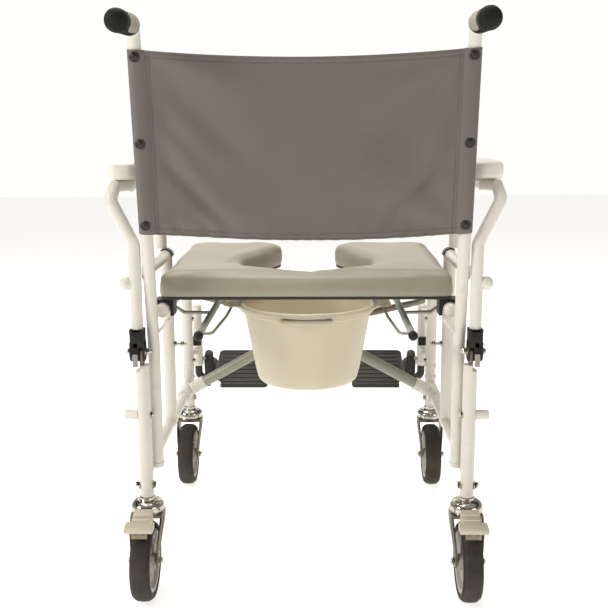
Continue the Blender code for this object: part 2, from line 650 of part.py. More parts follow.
# ---------------------------------------------------------------- casters
def build_caster(side, place, forward):
    """A caster: fixed stem cup, swivelling fork, wheel with its tyre, and the axle bolt."""
    prefix = f"{place}_{side_name(side)}"
    top = at(LEG_X * side, forward, 0)
    cup = [(0, 0.190), (0.0055, 0.190), (0.0055, 0.1542), (0.0118, 0.1542), (0.0175, 0.1515),
           (0.0255, 0.1440), (0.0255, 0.1385), (0.0225, FORK_TOP + GAP), (0, FORK_TOP + GAP)]
    add(f"{prefix}_caster_cup", turned(cup, top, (0, 0, 1), 16), "chrome", top)

    crown = turned([(0, 0.1325), (0.0190, 0.1325), (0.0222, 0.1335), (0.0222, FORK_TOP), (0, FORK_TOP)],
                   top, (0, 0, 1), 16)
    axle = at(LEG_X * side, forward - TRAIL, WHEEL_R)
    inner_x = TYRE_WIDTH / 2 + 0.0025
    outer_x = inner_x + 0.0028
    arms = []
    for hand in (1, -1):
        outline = [(TRAIL + 0.021, 0.1350), (TRAIL - 0.021, 0.1350), (-0.0015, 0.118), (-0.0115, 0.085)]
        outline += arc((0, WHEEL_R), 0.0110, 165, 345, 5)
        outline += [(0.026, 0.090), (TRAIL + 0.019, 0.116)]
        points = [at((LEG_X + inner_x * hand) * side, forward - TRAIL + y, z) for y, z in outline]
        arms.append(prism(points, Vector(((outer_x - inner_x) * hand * side, 0, 0))))
    bridge = block(at(LEG_X * side - outer_x, forward - 0.020, 0.1312),
                   at(LEG_X * side + outer_x, forward + 0.020, 0.1350))
    hole = turned([(0, -0.03), (0.0043, -0.03), (0.0043, 0.03), (0, 0.03)], axle, (1, 0, 0), 10)
    add(f"{prefix}_caster_fork", crown, "zinc_steel", top, join=arms + [bridge], cut=[hole])

    half = TYRE_WIDTH / 2
    facet = WHEEL_R / math.cos(math.pi / CASTER_SIDES)
    scale = facet / WHEEL_R
    tyre = [(0.0505, -half), ((WHEEL_R - 0.0035) * scale, -half), (facet, -half + 0.0050),
            (facet, half - 0.0050), ((WHEEL_R - 0.0035) * scale, half), (0.0505, half)]
    add(f"{prefix}_tyre", turned(tyre, axle, (1, 0, 0), CASTER_SIDES, closed=True), "tyre_rubber", axle)
    hub = [(0.0046, -0.0160), (0.0125, -0.0160), (0.0135, -0.0085), (0.0440, -0.0070), (0.0460, -0.0140),
           (0.0497, -0.0140), (0.0497, 0.0140), (0.0460, 0.0140), (0.0440, 0.0070), (0.0135, 0.0085),
           (0.0125, 0.0160), (0.0046, 0.0160)]
    add(f"{prefix}_hub", turned(hub, axle, (1, 0, 0), 20, closed=True), "hub_plastic", axle)
    reach = outer_x + GAP
    bolt = [(0, -reach - 0.0055), (0.0070, -reach - 0.0055), (0.0070, -reach), (0.0040, -reach),
            (0.0040, reach), (0.0070, reach), (0.0070, reach + 0.0055), (0, reach + 0.0055)]
    add(f"{prefix}_axle_bolt", turned(bolt, axle, (1, 0, 0), 10), "chrome", axle)
    if place == "rear":
        build_brake_pedal(side, top)


def build_brake_pedal(side, top):
    """The wheel-lock pedal with its brake shoe, behind the caster's stem."""
    half = 0.0145
    outline = [(-0.0270, 0.1300), (-0.0300, 0.1305), (-0.0560, 0.1300), (-0.0800, 0.1330),
               (-0.0870, 0.1370), (-0.0880, 0.1420), (-0.0800, 0.1440), (-0.0600, 0.1470),
               (-0.0330, 0.1520), (-0.0285, 0.1500)]
    points = [at(LEG_X * side - half, forward, z) for forward, z in outline]
    body = prism(points, Vector((half * 2, 0, 0)))
    flare = [(-0.0560, 0.1312), (-0.0800, 0.1340), (-0.0870, 0.1375), (-0.0875, 0.1415),
             (-0.0800, 0.1432), (-0.0560, 0.1470)]
    flare_points = [at(LEG_X * side - 0.0225, forward, z) for forward, z in flare]
    wide = prism(flare_points, Vector((0.045, 0, 0)))
    shoe = block(at(LEG_X * side - 0.0125, -0.0660, 0.1288), at(LEG_X * side + 0.0125, -0.0420, 0.1306))
    add(f"{side_name(side)}_brake_pedal", body, "pedal_plastic",
        at(LEG_X * side, -0.030, 0.141), join=[wide, shoe])


# ---------------------------------------------------------------- footrests
def build_footrest(side):
    name = side_name(side)
    pivot = at(FOOT_PIVOT_X * side, FOOT_PIVOT_FORWARD, 0.300)
    tube_r = 0.0095
    corners = mirrored([at(HANGER_X, HANGER_FORWARD, 0.233), at(HANGER_X, HANGER_FORWARD, 0.372)], side)
    parts = []
    pins = []
    for z in (0.352, 0.262):
        low = at((FOOT_PIVOT_X - 0.0075) * side, FOOT_PIVOT_FORWARD - 0.0075, z + 0.0053)
        high = at((FOOT_PIVOT_X + 0.0075) * side, FOOT_PIVOT_FORWARD + 0.0075, z + 0.0133)
        parts.append(block(low, high))
        parts.append(block(at((HANGER_X - 0.004) * side, FOOT_PIVOT_FORWARD + 0.002, z + 0.0060),
                           at((HANGER_X + 0.012) * side, HANGER_FORWARD, z + 0.0125)))
        pin = [(0, -0.0045), (0.0038, -0.0040), (0.0038, 0.0060), (0, 0.0060)]
        pins.append(turned(pin, at(FOOT_PIVOT_X * side, FOOT_PIVOT_FORWARD, z), (0, 0, 1), 10))
    bore = turned([(0, -0.01), (0.0084, -0.01), (0.0084, 0.060), (0, 0.060)],
                  at(HANGER_X * side, HANGER_FORWARD, 0.233), (0, 0, 1), 12)
    add(f"{name}_footrest_hanger", tube(corners, tube_r), "white_powder_coat", pivot,
        join=parts + pins, cut=[bore])

    lever = [(-0.0250, -0.0050), (-0.0060, -0.0070), (0.0060, -0.0080), (0.0090, -0.0010),
             (0.0060, 0.0070), (-0.0060, 0.0080), (-0.0250, 0.0040)]
    latch_points = [at((FOOT_PIVOT_X + x) * side, FOOT_PIVOT_FORWARD + y, 0.2880) for x, y in lever]
    rod = tube([at(FOOT_PIVOT_X * side, FOOT_PIVOT_FORWARD, 0.2762),
                at(FOOT_PIVOT_X * side, FOOT_PIVOT_FORWARD, 0.3460)], 0.0040, 10)
    add(f"{name}_hanger_latch", prism(latch_points, Vector((0, 0, 0.018))), "black_plastic",
        at(FOOT_PIVOT_X * side, FOOT_PIVOT_FORWARD, 0.297), join=[rod])

    build_footplate(side)


def plate_point(side, x, along, out):
    """A point of the footplate: across the chair, along the tilted plate, and out of its surface."""
    heel = at(x * side, 0.553, 0.1815)
    forward = Vector((0, -math.cos(PLATE_TILT), math.sin(PLATE_TILT)))
    upward = Vector((0, math.sin(PLATE_TILT), math.cos(PLATE_TILT)))
    return heel + forward * along + upward * out


def build_footplate(side):
    """The leg extension with its hub pin, and the flip-up plate, notched beside the leg, with its hub."""
    name = side_name(side)
    hub_centre = plate_point(side, 0.226, 0.030, 0.004)
    axis = Vector((0, -math.cos(PLATE_TILT), math.sin(PLATE_TILT)))
    path = [at(HANGER_X * side, HANGER_FORWARD, 0.289), at(HANGER_X * side, HANGER_FORWARD, 0.215),
            hub_centre - axis * 0.012]
    pin = tube([hub_centre - axis * 0.022, hub_centre + axis * 0.070], 0.0055, 10)
    add(f"{name}_footrest_extension", tube(path, 0.0081, 12), "footplate_plastic", hub_centre, join=[pin])

    outline = arc((0.1035, 0.010), 0.010, 180, 270, 3)
    outline += [(0.1970, 0), (0.2000, 0.003), (0.2000, 0.022), (0.2080, 0.030), (0.2150, 0.030)]
    outline += arc((0.2050, 0.148), 0.010, 0, 90, 3) + arc((0.1035, 0.148), 0.010, 90, 180, 3)
    points = [plate_point(side, x, along, 0) for x, along in outline]
    upward = Vector((0, math.sin(PLATE_TILT), math.cos(PLATE_TILT)))
    plate = prism(points, upward * 0.009)
    hub = turned([(0, 0), (0.0090, 0), (0.0105, 0.002), (0.0105, 0.083), (0.0090, 0.085), (0, 0.085)],
                 hub_centre - axis * 0.001, axis, 14)
    web_points = [plate_point(side, x, along, 0.0005) for x, along in
                  ((0.208, 0.036), (0.226, 0.036), (0.226, 0.108), (0.208, 0.108))]
    lug_outline = [(0.2175, 0.0), (0.2365, 0.0)] + arc((0.2270, 0.056), 0.0095, 0, 180, 6)
    lug = prism([plate_point(side, x, 0.0335, out) for x, out in lug_outline], axis * 0.026)
    bore = turned([(0, -0.03), (0.0060, -0.03), (0.0060, 0.078), (0, 0.078)], hub_centre, axis, 12)
    add(f"{name}_footplate", plate, "footplate_plastic", hub_centre,
        join=[hub, lug, prism(web_points, upward * 0.008)], cut=[bore])


# ---------------------------------------------------------------- assembly
def build():
    clear_scene()
    for side in (1, -1):
        build_side_frame(side)
        build_grip(side)
        build_arm(side)
        build_seat_rail(side)
        build_pan_rail(side)
        build_footrest(side)
        build_caster(side, "rear", 0)
        build_caster(side, "front", FRONT_FORWARD)
    build_back_sling()
    build_seat()
    build_brace(1, 1, "brace_arm_front")
    build_brace(-1, -1, "brace_arm_rear")
    build_brace_bolt()
    build_stay_link(1, 1)
    build_stay_link(-1, -1)
    build_pan()


build()
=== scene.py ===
"""Looks of a rolling commode chair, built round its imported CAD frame.

Metres, +Z up. The chair faces -Y and the sitter's left is +X. "Forward" is measured from the rear
legs towards the front. A side is 1 on the left and -1 on the right.
"""

import json
import math

import bmesh
import bpy
from mathutils import Matrix, Vector, noise


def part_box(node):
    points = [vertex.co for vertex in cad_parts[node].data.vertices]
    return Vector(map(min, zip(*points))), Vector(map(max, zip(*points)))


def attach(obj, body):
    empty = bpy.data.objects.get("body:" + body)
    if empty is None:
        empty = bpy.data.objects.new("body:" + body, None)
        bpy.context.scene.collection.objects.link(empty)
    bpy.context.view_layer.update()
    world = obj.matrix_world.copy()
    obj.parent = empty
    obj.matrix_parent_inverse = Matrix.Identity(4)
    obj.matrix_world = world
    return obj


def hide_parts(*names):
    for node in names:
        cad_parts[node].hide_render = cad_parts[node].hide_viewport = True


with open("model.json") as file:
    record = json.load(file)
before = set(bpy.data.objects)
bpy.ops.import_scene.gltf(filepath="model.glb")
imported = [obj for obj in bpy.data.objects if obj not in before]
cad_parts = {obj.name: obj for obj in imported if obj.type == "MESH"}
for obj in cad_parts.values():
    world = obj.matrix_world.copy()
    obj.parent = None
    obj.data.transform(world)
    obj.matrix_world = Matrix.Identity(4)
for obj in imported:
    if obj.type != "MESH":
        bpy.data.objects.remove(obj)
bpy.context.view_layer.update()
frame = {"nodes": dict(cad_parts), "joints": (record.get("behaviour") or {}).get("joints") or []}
JOINTS = {joint["name"]: joint for joint in frame["joints"]}
X_AXIS, Y_AXIS, Z_AXIS = Vector((1, 0, 0)), Vector((0, 1, 0)), Vector((0, 0, 1))


def joint_place(name):
    return Vector(JOINTS[name]["pos_m"])


# ---------------------------------------------------------------- driving places, from the frame
LEG_X, REAR_Y = joint_place("rear_left_swivel_turn").xy
FRONT_FORWARD = REAR_Y - joint_place("front_left_swivel_turn").y
ARM_PIVOT = joint_place("left_arm_flip")
FOOT_PIVOT = joint_place("left_hanger_swing")
FOOT_FORWARD = REAR_Y - FOOT_PIVOT.y
HUB_PIVOT = joint_place("left_footplate_flip")
WHEEL_R = joint_place("rear_left_wheel_spin").z
TRAIL = joint_place("rear_left_wheel_spin").y - REAR_Y
MID_FORWARD = REAR_Y - sum(corner.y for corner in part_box("left_arm_saddle")) / 2
SEAT_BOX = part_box("seat")
PAN_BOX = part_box("pan")

# ---------------------------------------------------------------- tube sizes and heights
LEG_R = 0.0111
LEG_SKIN = LEG_R * 0.93
WELD_REACH = LEG_R * 0.92
CANE_R = 0.0095
ROUND = 28
LEG_BOTTOM = 0.1545
LEG_TOP = 0.3735
FRONT_LEG_TOP = 0.470
STEM_BOLT_Z = 0.180
PEG_Z = 0.298
BRACKET_Z = (0.352, 0.262)
LOWER_RAIL_Z = 0.203
UPPER_RAIL_Z = 0.520
CANE_X = 0.2432
CANE_FORWARD = 0.0200
CANE_BEND_Z = 0.4045
CANE_TOP_Z = 0.8900
BACK_LEAN = math.radians(8.1)
BACK_NORMAL = Vector((0, math.cos(BACK_LEAN), -math.sin(BACK_LEAN)))
CANE_TOP_FORWARD = CANE_FORWARD - (CANE_TOP_Z - CANE_BEND_Z) * math.tan(BACK_LEAN)
GRIP_START = -0.0720
GRIP_END = -0.172
GRIP_R = 0.0160
GRIP_SLOPE = 0.045
SLING_LOW = 0.590
SLING_HIGH = 0.8585
SLING_RISE = SLING_HIGH - SLING_LOW
SEAT_RAIL_X = 0.231
SEAT_RAIL_Z = 0.4605
ARM_POST_X = 0.2665
BRACE_FORWARD = 0.4445
BRACE_CENTRE_Z = 0.3470
BRACE_R = 0.011
PAN_RAIL_X = 0.165
PAN_RAIL_Z = 0.433
PAN_FORWARD = 0.227
TONGUE_LOW_X = 0.2562
TONGUE_HIGH_X = 0.2622
HANGER_X = 0.2455
HANGER_FORWARD = 0.552
PLATE_TILT = math.radians(16)
PLATE_RUN = Vector((0, -math.cos(PLATE_TILT), math.sin(PLATE_TILT)))
PLATE_UP = Vector((0, math.sin(PLATE_TILT), math.cos(PLATE_TILT)))
FORK_TOP = 0.1355
FORK_PLATE = 0.0028
FORK_FLARE = 0.0042
TYRE_HALF = 0.016


def at(x, forward, z):
    """A point from its lateral place, its distance forward of the rear legs, and its height."""
    return Vector((x, REAR_Y - forward, z))


def side_name(side):
    return "left" if side > 0 else "right"


# ---------------------------------------------------------------- mesh builders
def oval(centre, radii, angles):
    """Points (a, b) of an oval in a plane, at angles in degrees."""
    turns = [math.radians(angle) for angle in angles]
    return [(centre[0] + radii[0] * math.cos(turn), centre[1] + radii[1] * math.sin(turn)) for turn in turns]


def arc(centre, radius, start, end, steps):
    """Points (a, b) of a circle's arc in a plane, angles in degrees."""
    return oval(centre, (radius, radius), [start + (end - start) * step / steps for step in range(steps + 1)])


def rounded_rectangle(low_a, high_a, low_b, high_b, radius, steps=6):
    """The outline of a rectangle with rounded corners, as (a, b) points."""
    corners = [(a, b) for a, b in ((high_a - radius, low_b + radius), (high_a - radius, high_b - radius),
                                   (low_a + radius, high_b - radius), (low_a + radius, low_b + radius))]
    return [point for turn, corner in enumerate(corners)
            for point in arc(corner, radius, 90 * turn - 90, 90 * turn, steps)]


def rounded_path(points, radius, steps=10):
    """A polyline whose inner corners are arcs of the given radius."""
    path = [points[0]]
    for before, corner, after in zip(points, points[1:], points[2:]):
        incoming = (corner - before).normalized()
        outgoing = (after - corner).normalized()
        turn = incoming.angle(outgoing)
        if turn < 0.02:
            path.append(corner)
            continue
        start = corner - incoming * radius * math.tan(turn / 2)
        centre = corner + (outgoing - incoming).normalized() * (radius / math.cos(turn / 2))
        axis = incoming.cross(outgoing).normalized()
        for step in range(steps + 1):
            path.append(centre + Matrix.Rotation(turn * step / steps, 3, axis) @ (start - centre))
    path.append(points[-1])
    return path


def frame_along(path):
    """A (tangent, across, other) triad at each point of a path, without twist."""
    triads = []
    for index in range(len(path)):
        tangent = (path[min(index + 1, len(path) - 1)] - path[max(index - 1, 0)]).normalized()
        if index:
            across = triads[-1][0].rotation_difference(tangent) @ across
        else:
            across = X_AXIS if abs(tangent.x) < 0.8 else Y_AXIS
        across = (across - tangent * across.dot(tangent)).normalized()
        triads.append((tangent, across, tangent.cross(across)))
    return triads


def ring_of(bm, place, across, other, radius, sides):
    """A ring of vertices round a place, or one vertex where the radius is nil."""
    if radius < 1e-7:
        return [bm.verts.new(place)]
    angles = [2 * math.pi * (step + 0.5) / sides for step in range(sides)]
    return [bm.verts.new(place + (across * math.cos(angle) + other * math.sin(angle)) * radius)
            for angle in angles]


def skin_over(bm, rings, closed=False):
    """The faces between rings that follow one another."""
    for ring, following in list(zip(rings, rings[1:])) + [(rings[-1], rings[0])] * closed:
        sides = max(len(ring), len(following))
        for step in range(sides if sides > 1 else 0):
            after = (step + 1) % sides
            if len(ring) == 1:
                bm.faces.new((ring[0], following[after], following[step]))
            elif len(following) == 1:
                bm.faces.new((ring[step], ring[after], following[0]))
            else:
                bm.faces.new((ring[step], ring[after], following[after], following[step]))


def tube(path, radius, sides=ROUND, dome=0.0015):
    """A round bar along a path, its ends softened by a small chamfer. The radius may be a list."""
    bm = bmesh.new()
    radii = radius if isinstance(radius, list) else [radius] * len(path)
    triads = frame_along(path)
    insets = [dome] + [0.0] * (len(path) - 2) + [-dome]
    stations = [(path[0], triads[0], max(radii[0] - dome, 0.0002))]
    stations += [(point + triad[0] * inset, triad, size)
                 for point, triad, inset, size in zip(path, triads, insets, radii)]
    stations.append((path[-1], triads[-1], max(radii[-1] - dome, 0.0002)))
    rings = [ring_of(bm, place, across, other, size, sides) for place, (_, across, other), size in stations]
    skin_over(bm, rings)
    bm.faces.new(list(reversed(rings[0])))
    bm.faces.new(rings[-1])
    return bm


def turned(profile, centre, axis, sides=40, closed=False):
    """A solid turned about an axis from (radius, height) points."""
    bm = bmesh.new()
    axis = Vector(axis).normalized()
    reference = Z_AXIS if abs(axis.z) < 0.8 else X_AXIS
    across = (reference - axis * reference.dot(axis)).normalized()
    other = axis.cross(across)
    skin_over(bm, [ring_of(bm, centre + axis * height, across, other, radius, sides)
                   for radius, height in profile], closed)
    return bm


def rod(radius, low, high, centre, axis, sides):
    """A plain round bar between two heights along an axis."""
    return turned([(0, low), (radius, low), (radius, high), (0, high)], centre, axis, sides)


def prism(outline, depth, chamfer=0.0, segments=2):
    """A closed plate: an outline of points, extruded by the depth vector, edges softened."""
    bm = bmesh.new()
    base = [bm.verts.new(point) for point in outline]
    top = [bm.verts.new(point + depth) for point in outline]
    bm.faces.new(base)
    bm.faces.new(list(reversed(top)))
    for index in range(len(base)):
        after = (index + 1) % len(base)
        bm.faces.new((base[index], top[index], top[after], base[after]))
    if chamfer:
        bmesh.ops.recalc_face_normals(bm, faces=bm.faces)
        edges = [edge for edge in bm.edges if edge.calc_face_angle(0) > 0.6]
        bmesh.ops.bevel(bm, geom=edges, offset=chamfer, segments=segments, profile=0.5, affect="EDGES",
                        clamp_overlap=True)
    return bm


def slab(outline, z, height, chamfer=0.0, side=1, segments=2):
    """A level plate from an outline of (x, forward) points."""
    return prism([at(x * side, forward, z) for x, forward in outline], Z_AXIS * height, chamfer, segments)


def side_plate(outline, x, width, chamfer):
    """An upright plate along the chair, from an outline of (forward, z) points."""
    return prism([at(x, forward, z) for forward, z in outline], X_AXIS * width, chamfer)


def block(low, high, chamfer=0.0008):
    """A softened box between two corners."""
    (x0, x1), (y0, y1), (z0, z1) = [sorted(pair) for pair in zip(low, high)]
    base = [Vector((x0, y0, z0)), Vector((x1, y0, z0)), Vector((x1, y1, z0)), Vector((x0, y1, z0))]
    return prism(base, Z_AXIS * (z1 - z0), chamfer)


def ring_bead(centre, axis, radius, thickness, sides=36):
    """A small weld bead round a tube, slightly uneven like a real weld."""
    section = oval((radius, 0), (thickness, thickness), range(0, 360, 45))
    bm = turned(section, centre, axis, sides, closed=True)
    for vert in bm.verts:
        ripple = noise.noise(vert.co * 420) * 0.35
        vert.co += (vert.co - centre).normalized() * thickness * ripple
    return bm


def hex_nut(centre, axis, radius, height, domed=True):
    """A hexagonal nut with a washer and, if domed, an acorn cap."""
    body = height * (0.62 if domed else 1.0)
    nut = [(0, height * 0.1), (radius * 0.94, height * 0.1), (radius, height * 0.2), (radius, body * 0.9),
           (radius * 0.9, body), (0, body)]
    shapes = [rod(radius * 1.25, 0, height * 0.14, centre, axis, 28), turned(nut, centre, axis, 6)]
    if domed:
        cap = [(0, body * 0.9), (radius * 0.78, body * 0.98)]
        cap += oval((0, body), (radius * 0.76, height - body), range(0, 90, 15))
        shapes.append(turned(cap + [(0, height)], centre, axis, 24))
    return shapes


def sheet_of(bm, rows):
    """The faces of an open sheet from its rows of vertices."""
    for low, high in zip(rows, rows[1:]):
        for corners in zip(low, low[1:], high[1:], high):
            bm.faces.new(corners)


def piece(name, shapes, finish, body="frame", stands_for="", angle=38):
    """One shown piece from its shapes, shaded smooth, riding on a body."""
    material, usual_slot = FINISHES[finish]
    joined = bpy.data.meshes.new(name)
    whole = bmesh.new()
    for shape in shapes:
        bmesh.ops.recalc_face_normals(shape, faces=shape.faces)
        part = bpy.data.meshes.new("part")
        shape.to_mesh(part)
        shape.free()
        whole.from_mesh(part)
        bpy.data.meshes.remove(part)
    whole.to_mesh(joined)
    whole.free()
    joined.shade_smooth()
    joined.set_sharp_from_angle(angle=math.radians(angle))
    joined.materials.append(material)
    item = bpy.data.objects.new(name, joined)
    bpy.context.scene.collection.objects.link(item)
    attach(item, body)
    if stands_for:
        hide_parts(stands_for)
    return item


# ---------------------------------------------------------------- material nodes
def add_node(tree, kind, output, inputs=None, **settings):
    """A node's output. Its inputs are values or other nodes' outputs."""
    node = tree.nodes.new("ShaderNode" + kind)
    for name, value in settings.items():
        setattr(node, name, value)
    for name, value in (inputs or {}).items():
        if isinstance(value, bpy.types.NodeSocket):
            tree.links.new(value, node.inputs[name])
        else:
            node.inputs[name].default_value = value
    return node.outputs[output]


class Surface:
    """A Principled material and the few node chains that the finishes below share."""

    def __init__(self, name, colour, roughness, metallic=0.0, sockets=None):
        self.material = bpy.data.materials.new(name)
        self.material.use_nodes = True
        self.tree = self.material.node_tree
        self.shader = self.tree.nodes["Principled BSDF"]
        own = {"Base Color": (*colour, 1.0), "Roughness": roughness, "Metallic": metallic}
        for socket, value in {**own, **(sockets or {})}.items():
            self.shader.inputs[socket].default_value = value
        self.place = self.add("TexCoord", "Object")

    def add(self, kind, output, inputs=None, **settings):
        return add_node(self.tree, kind, output, inputs, **settings)

    def drive(self, socket, source):
        self.tree.links.new(source, self.shader.inputs[socket])

    def current(self, socket):
        """What feeds a socket of the shader: the output linked to it, or its own value."""
        own = self.shader.inputs[socket]
        return own.links[0].from_socket if own.is_linked else tuple(own.default_value)

    def noise(self, scale, detail=3.0, stretch=(1, 1, 1)):
        """A noise factor, with its coordinates stretched."""
        place = self.add("Mapping", "Vector", {"Scale": stretch, "Vector": self.place})
        return self.add("TexNoise", "Fac", {"Scale": scale, "Detail": detail, "Vector": place})

    def cells(self, scale):
        return self.add("TexVoronoi", "Distance", {"Scale": scale, "Vector": self.place})

    def waves(self, scale, direction, distortion):
        return self.add("TexWave", "Fac", {"Scale": scale, "Distortion": distortion, "Vector": self.place},
                        wave_type="BANDS", bands_direction=direction, wave_profile="SIN")

    def math(self, operation, first, second):
        return self.add("Math", 0, {0: first, 1: second}, operation=operation)

    def ramp(self, factor, low, high):
        """The factor, stretched so that low becomes 0 and high becomes 1."""
        return self.add("MapRange", "Result", {"From Min": low, "From Max": high, "Value": factor})

    def blend(self, factor, colour, share=1):
        """Mixes a share of a second colour over the base colour by a factor."""
        if share != 1:
            factor = self.math("MULTIPLY", factor, share)
        mix = {"A": self.current("Base Color"), "B": (*colour, 1.0), "Factor": factor}
        self.drive("Base Color", self.add("Mix", "Result", mix, data_type="RGBA"))

    def patches(self, *spots):
        """Uneven spots of colour, each (low, high, share, colour, scale, detail, stretch) of a noise."""
        for low, high, share, colour, *texture in spots:
            self.blend(self.ramp(self.noise(*texture), low, high), colour, share)

    def worn(self, colour, share=1):
        """A second colour on outer edges."""
        self.blend(self.ramp(self.add("NewGeometry", "Pointiness"), 0.52, 0.62), colour, share)

    def roughen(self, low, high, *texture):
        """Roughness that runs from low to high with a noise."""
        spread = {"To Min": low, "To Max": high, "Value": self.noise(*texture)}
        self.drive("Roughness", self.add("MapRange", "Result", spread))

    def bump(self, height, distance, strength):
        """Fine relief on top of what is there."""
        relief = {"Distance": distance, "Strength": strength, "Height": height}
        if self.shader.inputs["Normal"].is_linked:
            relief["Normal"] = self.current("Normal")
        self.drive("Normal", self.add("Bump", "Normal", relief))


def gloss(level):
    return {"Specular IOR Level": level}


def powder_coat():
    """Warm white satin powder coat with its fine orange peel and a little grime."""
    s = Surface("powder_coat", (0.745, 0.705, 0.635), 0.36, 0.0, gloss(0.36))
    s.patches((0.45, 0.75, 1, (0.70, 0.66, 0.585), 7, 4), (0.60, 0.72, 0.35, (0.60, 0.55, 0.47), 60, 6))
    s.roughen(0.26, 0.42, 30, 3)
    s.bump(s.noise(900, 2), 0.00012, 0.5)
    return s.material


def silver_paint():
    """Grey-silver metallic paint on the brace and rails."""
    s = Surface("silver_paint", (0.205, 0.157, 0.096), 0.38, 0.15)
    s.patches((0.4, 0.7, 1, (0.158, 0.120, 0.072), 14, 4))
    s.worn((0.50, 0.57, 0.50))
    s.roughen(0.26, 0.45, 45, 4)
    s.bump(s.noise(700, 2), 0.00010, 0.5)
    return s.material


def chrome():
    s = Surface("chrome", (0.55, 0.52, 0.46), 0.12, 1.0)
    s.patches((0.55, 0.75, 1, (0.36, 0.33, 0.28), 55, 4))
    s.roughen(0.05, 0.2, 80, 4)
    return s.material


def pressed_steel():
    """The forks' bronze-grey zinc plating, with faint rolling marks."""
    s = Surface("pressed_steel", (0.125, 0.103, 0.066), 0.4, 1.0)
    s.patches((0.42, 0.7, 1, (0.065, 0.053, 0.033), 35, 5))
    s.worn((0.36, 0.31, 0.23))
    s.roughen(0.28, 0.5, 90, 5)
    s.bump(s.noise(260, 3, (1, 1, 6)), 0.0001, 0.5)
    return s.material


def moulded(name, colour, roughness, grain=900, paler=1.5, shine=0.5):
    """A moulded plastic with a fine grain, slightly paler on its edges."""
    s = Surface(name, colour, roughness, 0.0, gloss(shine))
    s.patches((0.35, 0.75, 1, [channel * 0.82 for channel in colour], 18, 4))
    s.worn([min(1.0, channel * paler + 0.01) for channel in colour], 0.6)
    s.roughen(roughness - 0.08, roughness + 0.1, 70, 3)
    s.bump(s.noise(grain, 2), 0.00010, 0.6)
    return s.material


def rubber(name, colour, dust):
    """Matt rubber with dust in its pores."""
    s = Surface(name, colour, 0.68, 0.0, gloss(0.25))
    s.patches((0.42, 0.75, 0.7, dust, 22, 6), (0.6, 0.75, 0.4, dust, 240, 3))
    s.roughen(0.58, 0.82, 60, 3)
    s.bump(s.noise(700, 3), 0.00018, 0.7)
    return s.material


def vinyl():
    """The seat's smooth vinyl: a fine leather grain and a soft uneven sheen."""
    s = Surface("seat_vinyl", (0.325, 0.292, 0.213), 0.40, 0.0, gloss(0.55))
    s.patches((0.38, 0.7, 1, (0.295, 0.263, 0.190), 5, 3), (0.58, 0.72, 0.3, (0.27, 0.24, 0.17), 45, 6))
    s.roughen(0.38, 0.56, 16, 5)
    s.bump(s.cells(520), 0.00016, 0.35)
    s.bump(s.noise(26, 3), 0.0008, 0.18)
    return s.material


def foam_skin():
    """The arm pads' pale moulded skin."""
    s = Surface("foam_skin", (0.83, 0.795, 0.72), 0.48)
    s.patches((0.4, 0.75, 1, (0.70, 0.67, 0.59), 12, 4), (0.6, 0.72, 0.3, (0.56, 0.52, 0.44), 90, 5))
    s.roughen(0.42, 0.6, 25, 3)
    s.bump(s.cells(420), 0.00018, 0.4)
    return s.material


def woven():
    """The sling's coated nylon: a fine plain weave with a dull sheen."""
    sheen = {"Sheen Weight": 0.15, "Sheen Roughness": 0.45, "Sheen Tint": (0.75, 0.68, 0.62, 1.0)}
    s = Surface("woven", (0.158, 0.139, 0.122), 0.58, 0.0, sheen)
    s.patches((0.38, 0.72, 1, (0.138, 0.121, 0.105), 6, 4),
              (0.52, 0.7, 0.35, (0.188, 0.166, 0.148), 160, 4, (1, 1, 7)))
    weave = s.math("ADD", s.waves(300, "X", 0.6), s.waves(300, "Z", 0.6))
    s.blend(s.ramp(weave, 0.5, 1.6), (0.11, 0.092, 0.08), 0.22)
    s.roughen(0.48, 0.68, 28, 4)
    s.bump(weave, 0.00016, 0.5)
    s.bump(s.noise(34, 4), 0.0010, 0.25)
    return s.material


def pan_plastic():
    """Cream polypropylene that lets a little light through."""
    glow = {"Subsurface Weight": 0.6, "Subsurface Radius": (0.030, 0.027, 0.022), "Subsurface Scale": 0.6}
    s = Surface("pan_plastic", (0.595, 0.53, 0.41), 0.30, 0.0, glow)
    s.patches((0.4, 0.75, 1, (0.555, 0.49, 0.37), 9, 3), (0.62, 0.74, 0.25, (0.50, 0.43, 0.30), 70, 6))
    s.roughen(0.3, 0.46, 20, 3)
    s.bump(s.noise(380, 2), 0.0001, 0.4)
    return s.material


# each finish is a material and the record's slot that it stands for
FINISHES = {
    "white": (powder_coat(), "white_powder_coat"),
    "silver": (silver_paint(), "grey_paint"),
    "chrome": (chrome(), "chrome"),
    "steel": (pressed_steel(), "zinc_steel"),
    "black": (moulded("black_plastic", (0.012, 0.0115, 0.0095), 0.42, paler=2.2, shine=0.26),
              "black_plastic"),
    "grey": (moulded("grey_plastic", (0.30, 0.29, 0.26), 0.45), ""),
    "hub": (moulded("hub_plastic", (0.40, 0.38, 0.345), 0.42), "hub_plastic"),
    "pedal": (moulded("pedal_plastic", (0.55, 0.49, 0.37), 0.46), "pedal_plastic"),
    "plate": (moulded("footplate_plastic", (0.036, 0.032, 0.025), 0.5, 500, shine=0.28), "footplate_plastic"),
    "tyre": (rubber("tyre_rubber", (0.037, 0.032, 0.024), (0.075, 0.065, 0.050)), "tyre_rubber"),
    "grip": (rubber("grip_rubber", (0.008, 0.008, 0.006), (0.024, 0.023, 0.018)), "grip_rubber"),
    "inlay": (rubber("grip_inlay", (0.36, 0.33, 0.27), (0.25, 0.225, 0.18)), "grip_rubber"),
    "screw": (moulded("screw_cap", (0.026, 0.021, 0.017), 0.34), "black_plastic"),
    "thread": (moulded("thread", (0.080, 0.068, 0.058), 0.75, 2000), "sling_fabric"),
    "vinyl": (vinyl(), "seat_vinyl"),
    "foam": (foam_skin(), "pad_foam"),
    "woven": (woven(), "sling_fabric"),
    "pan": (pan_plastic(), "pan_plastic"),
}


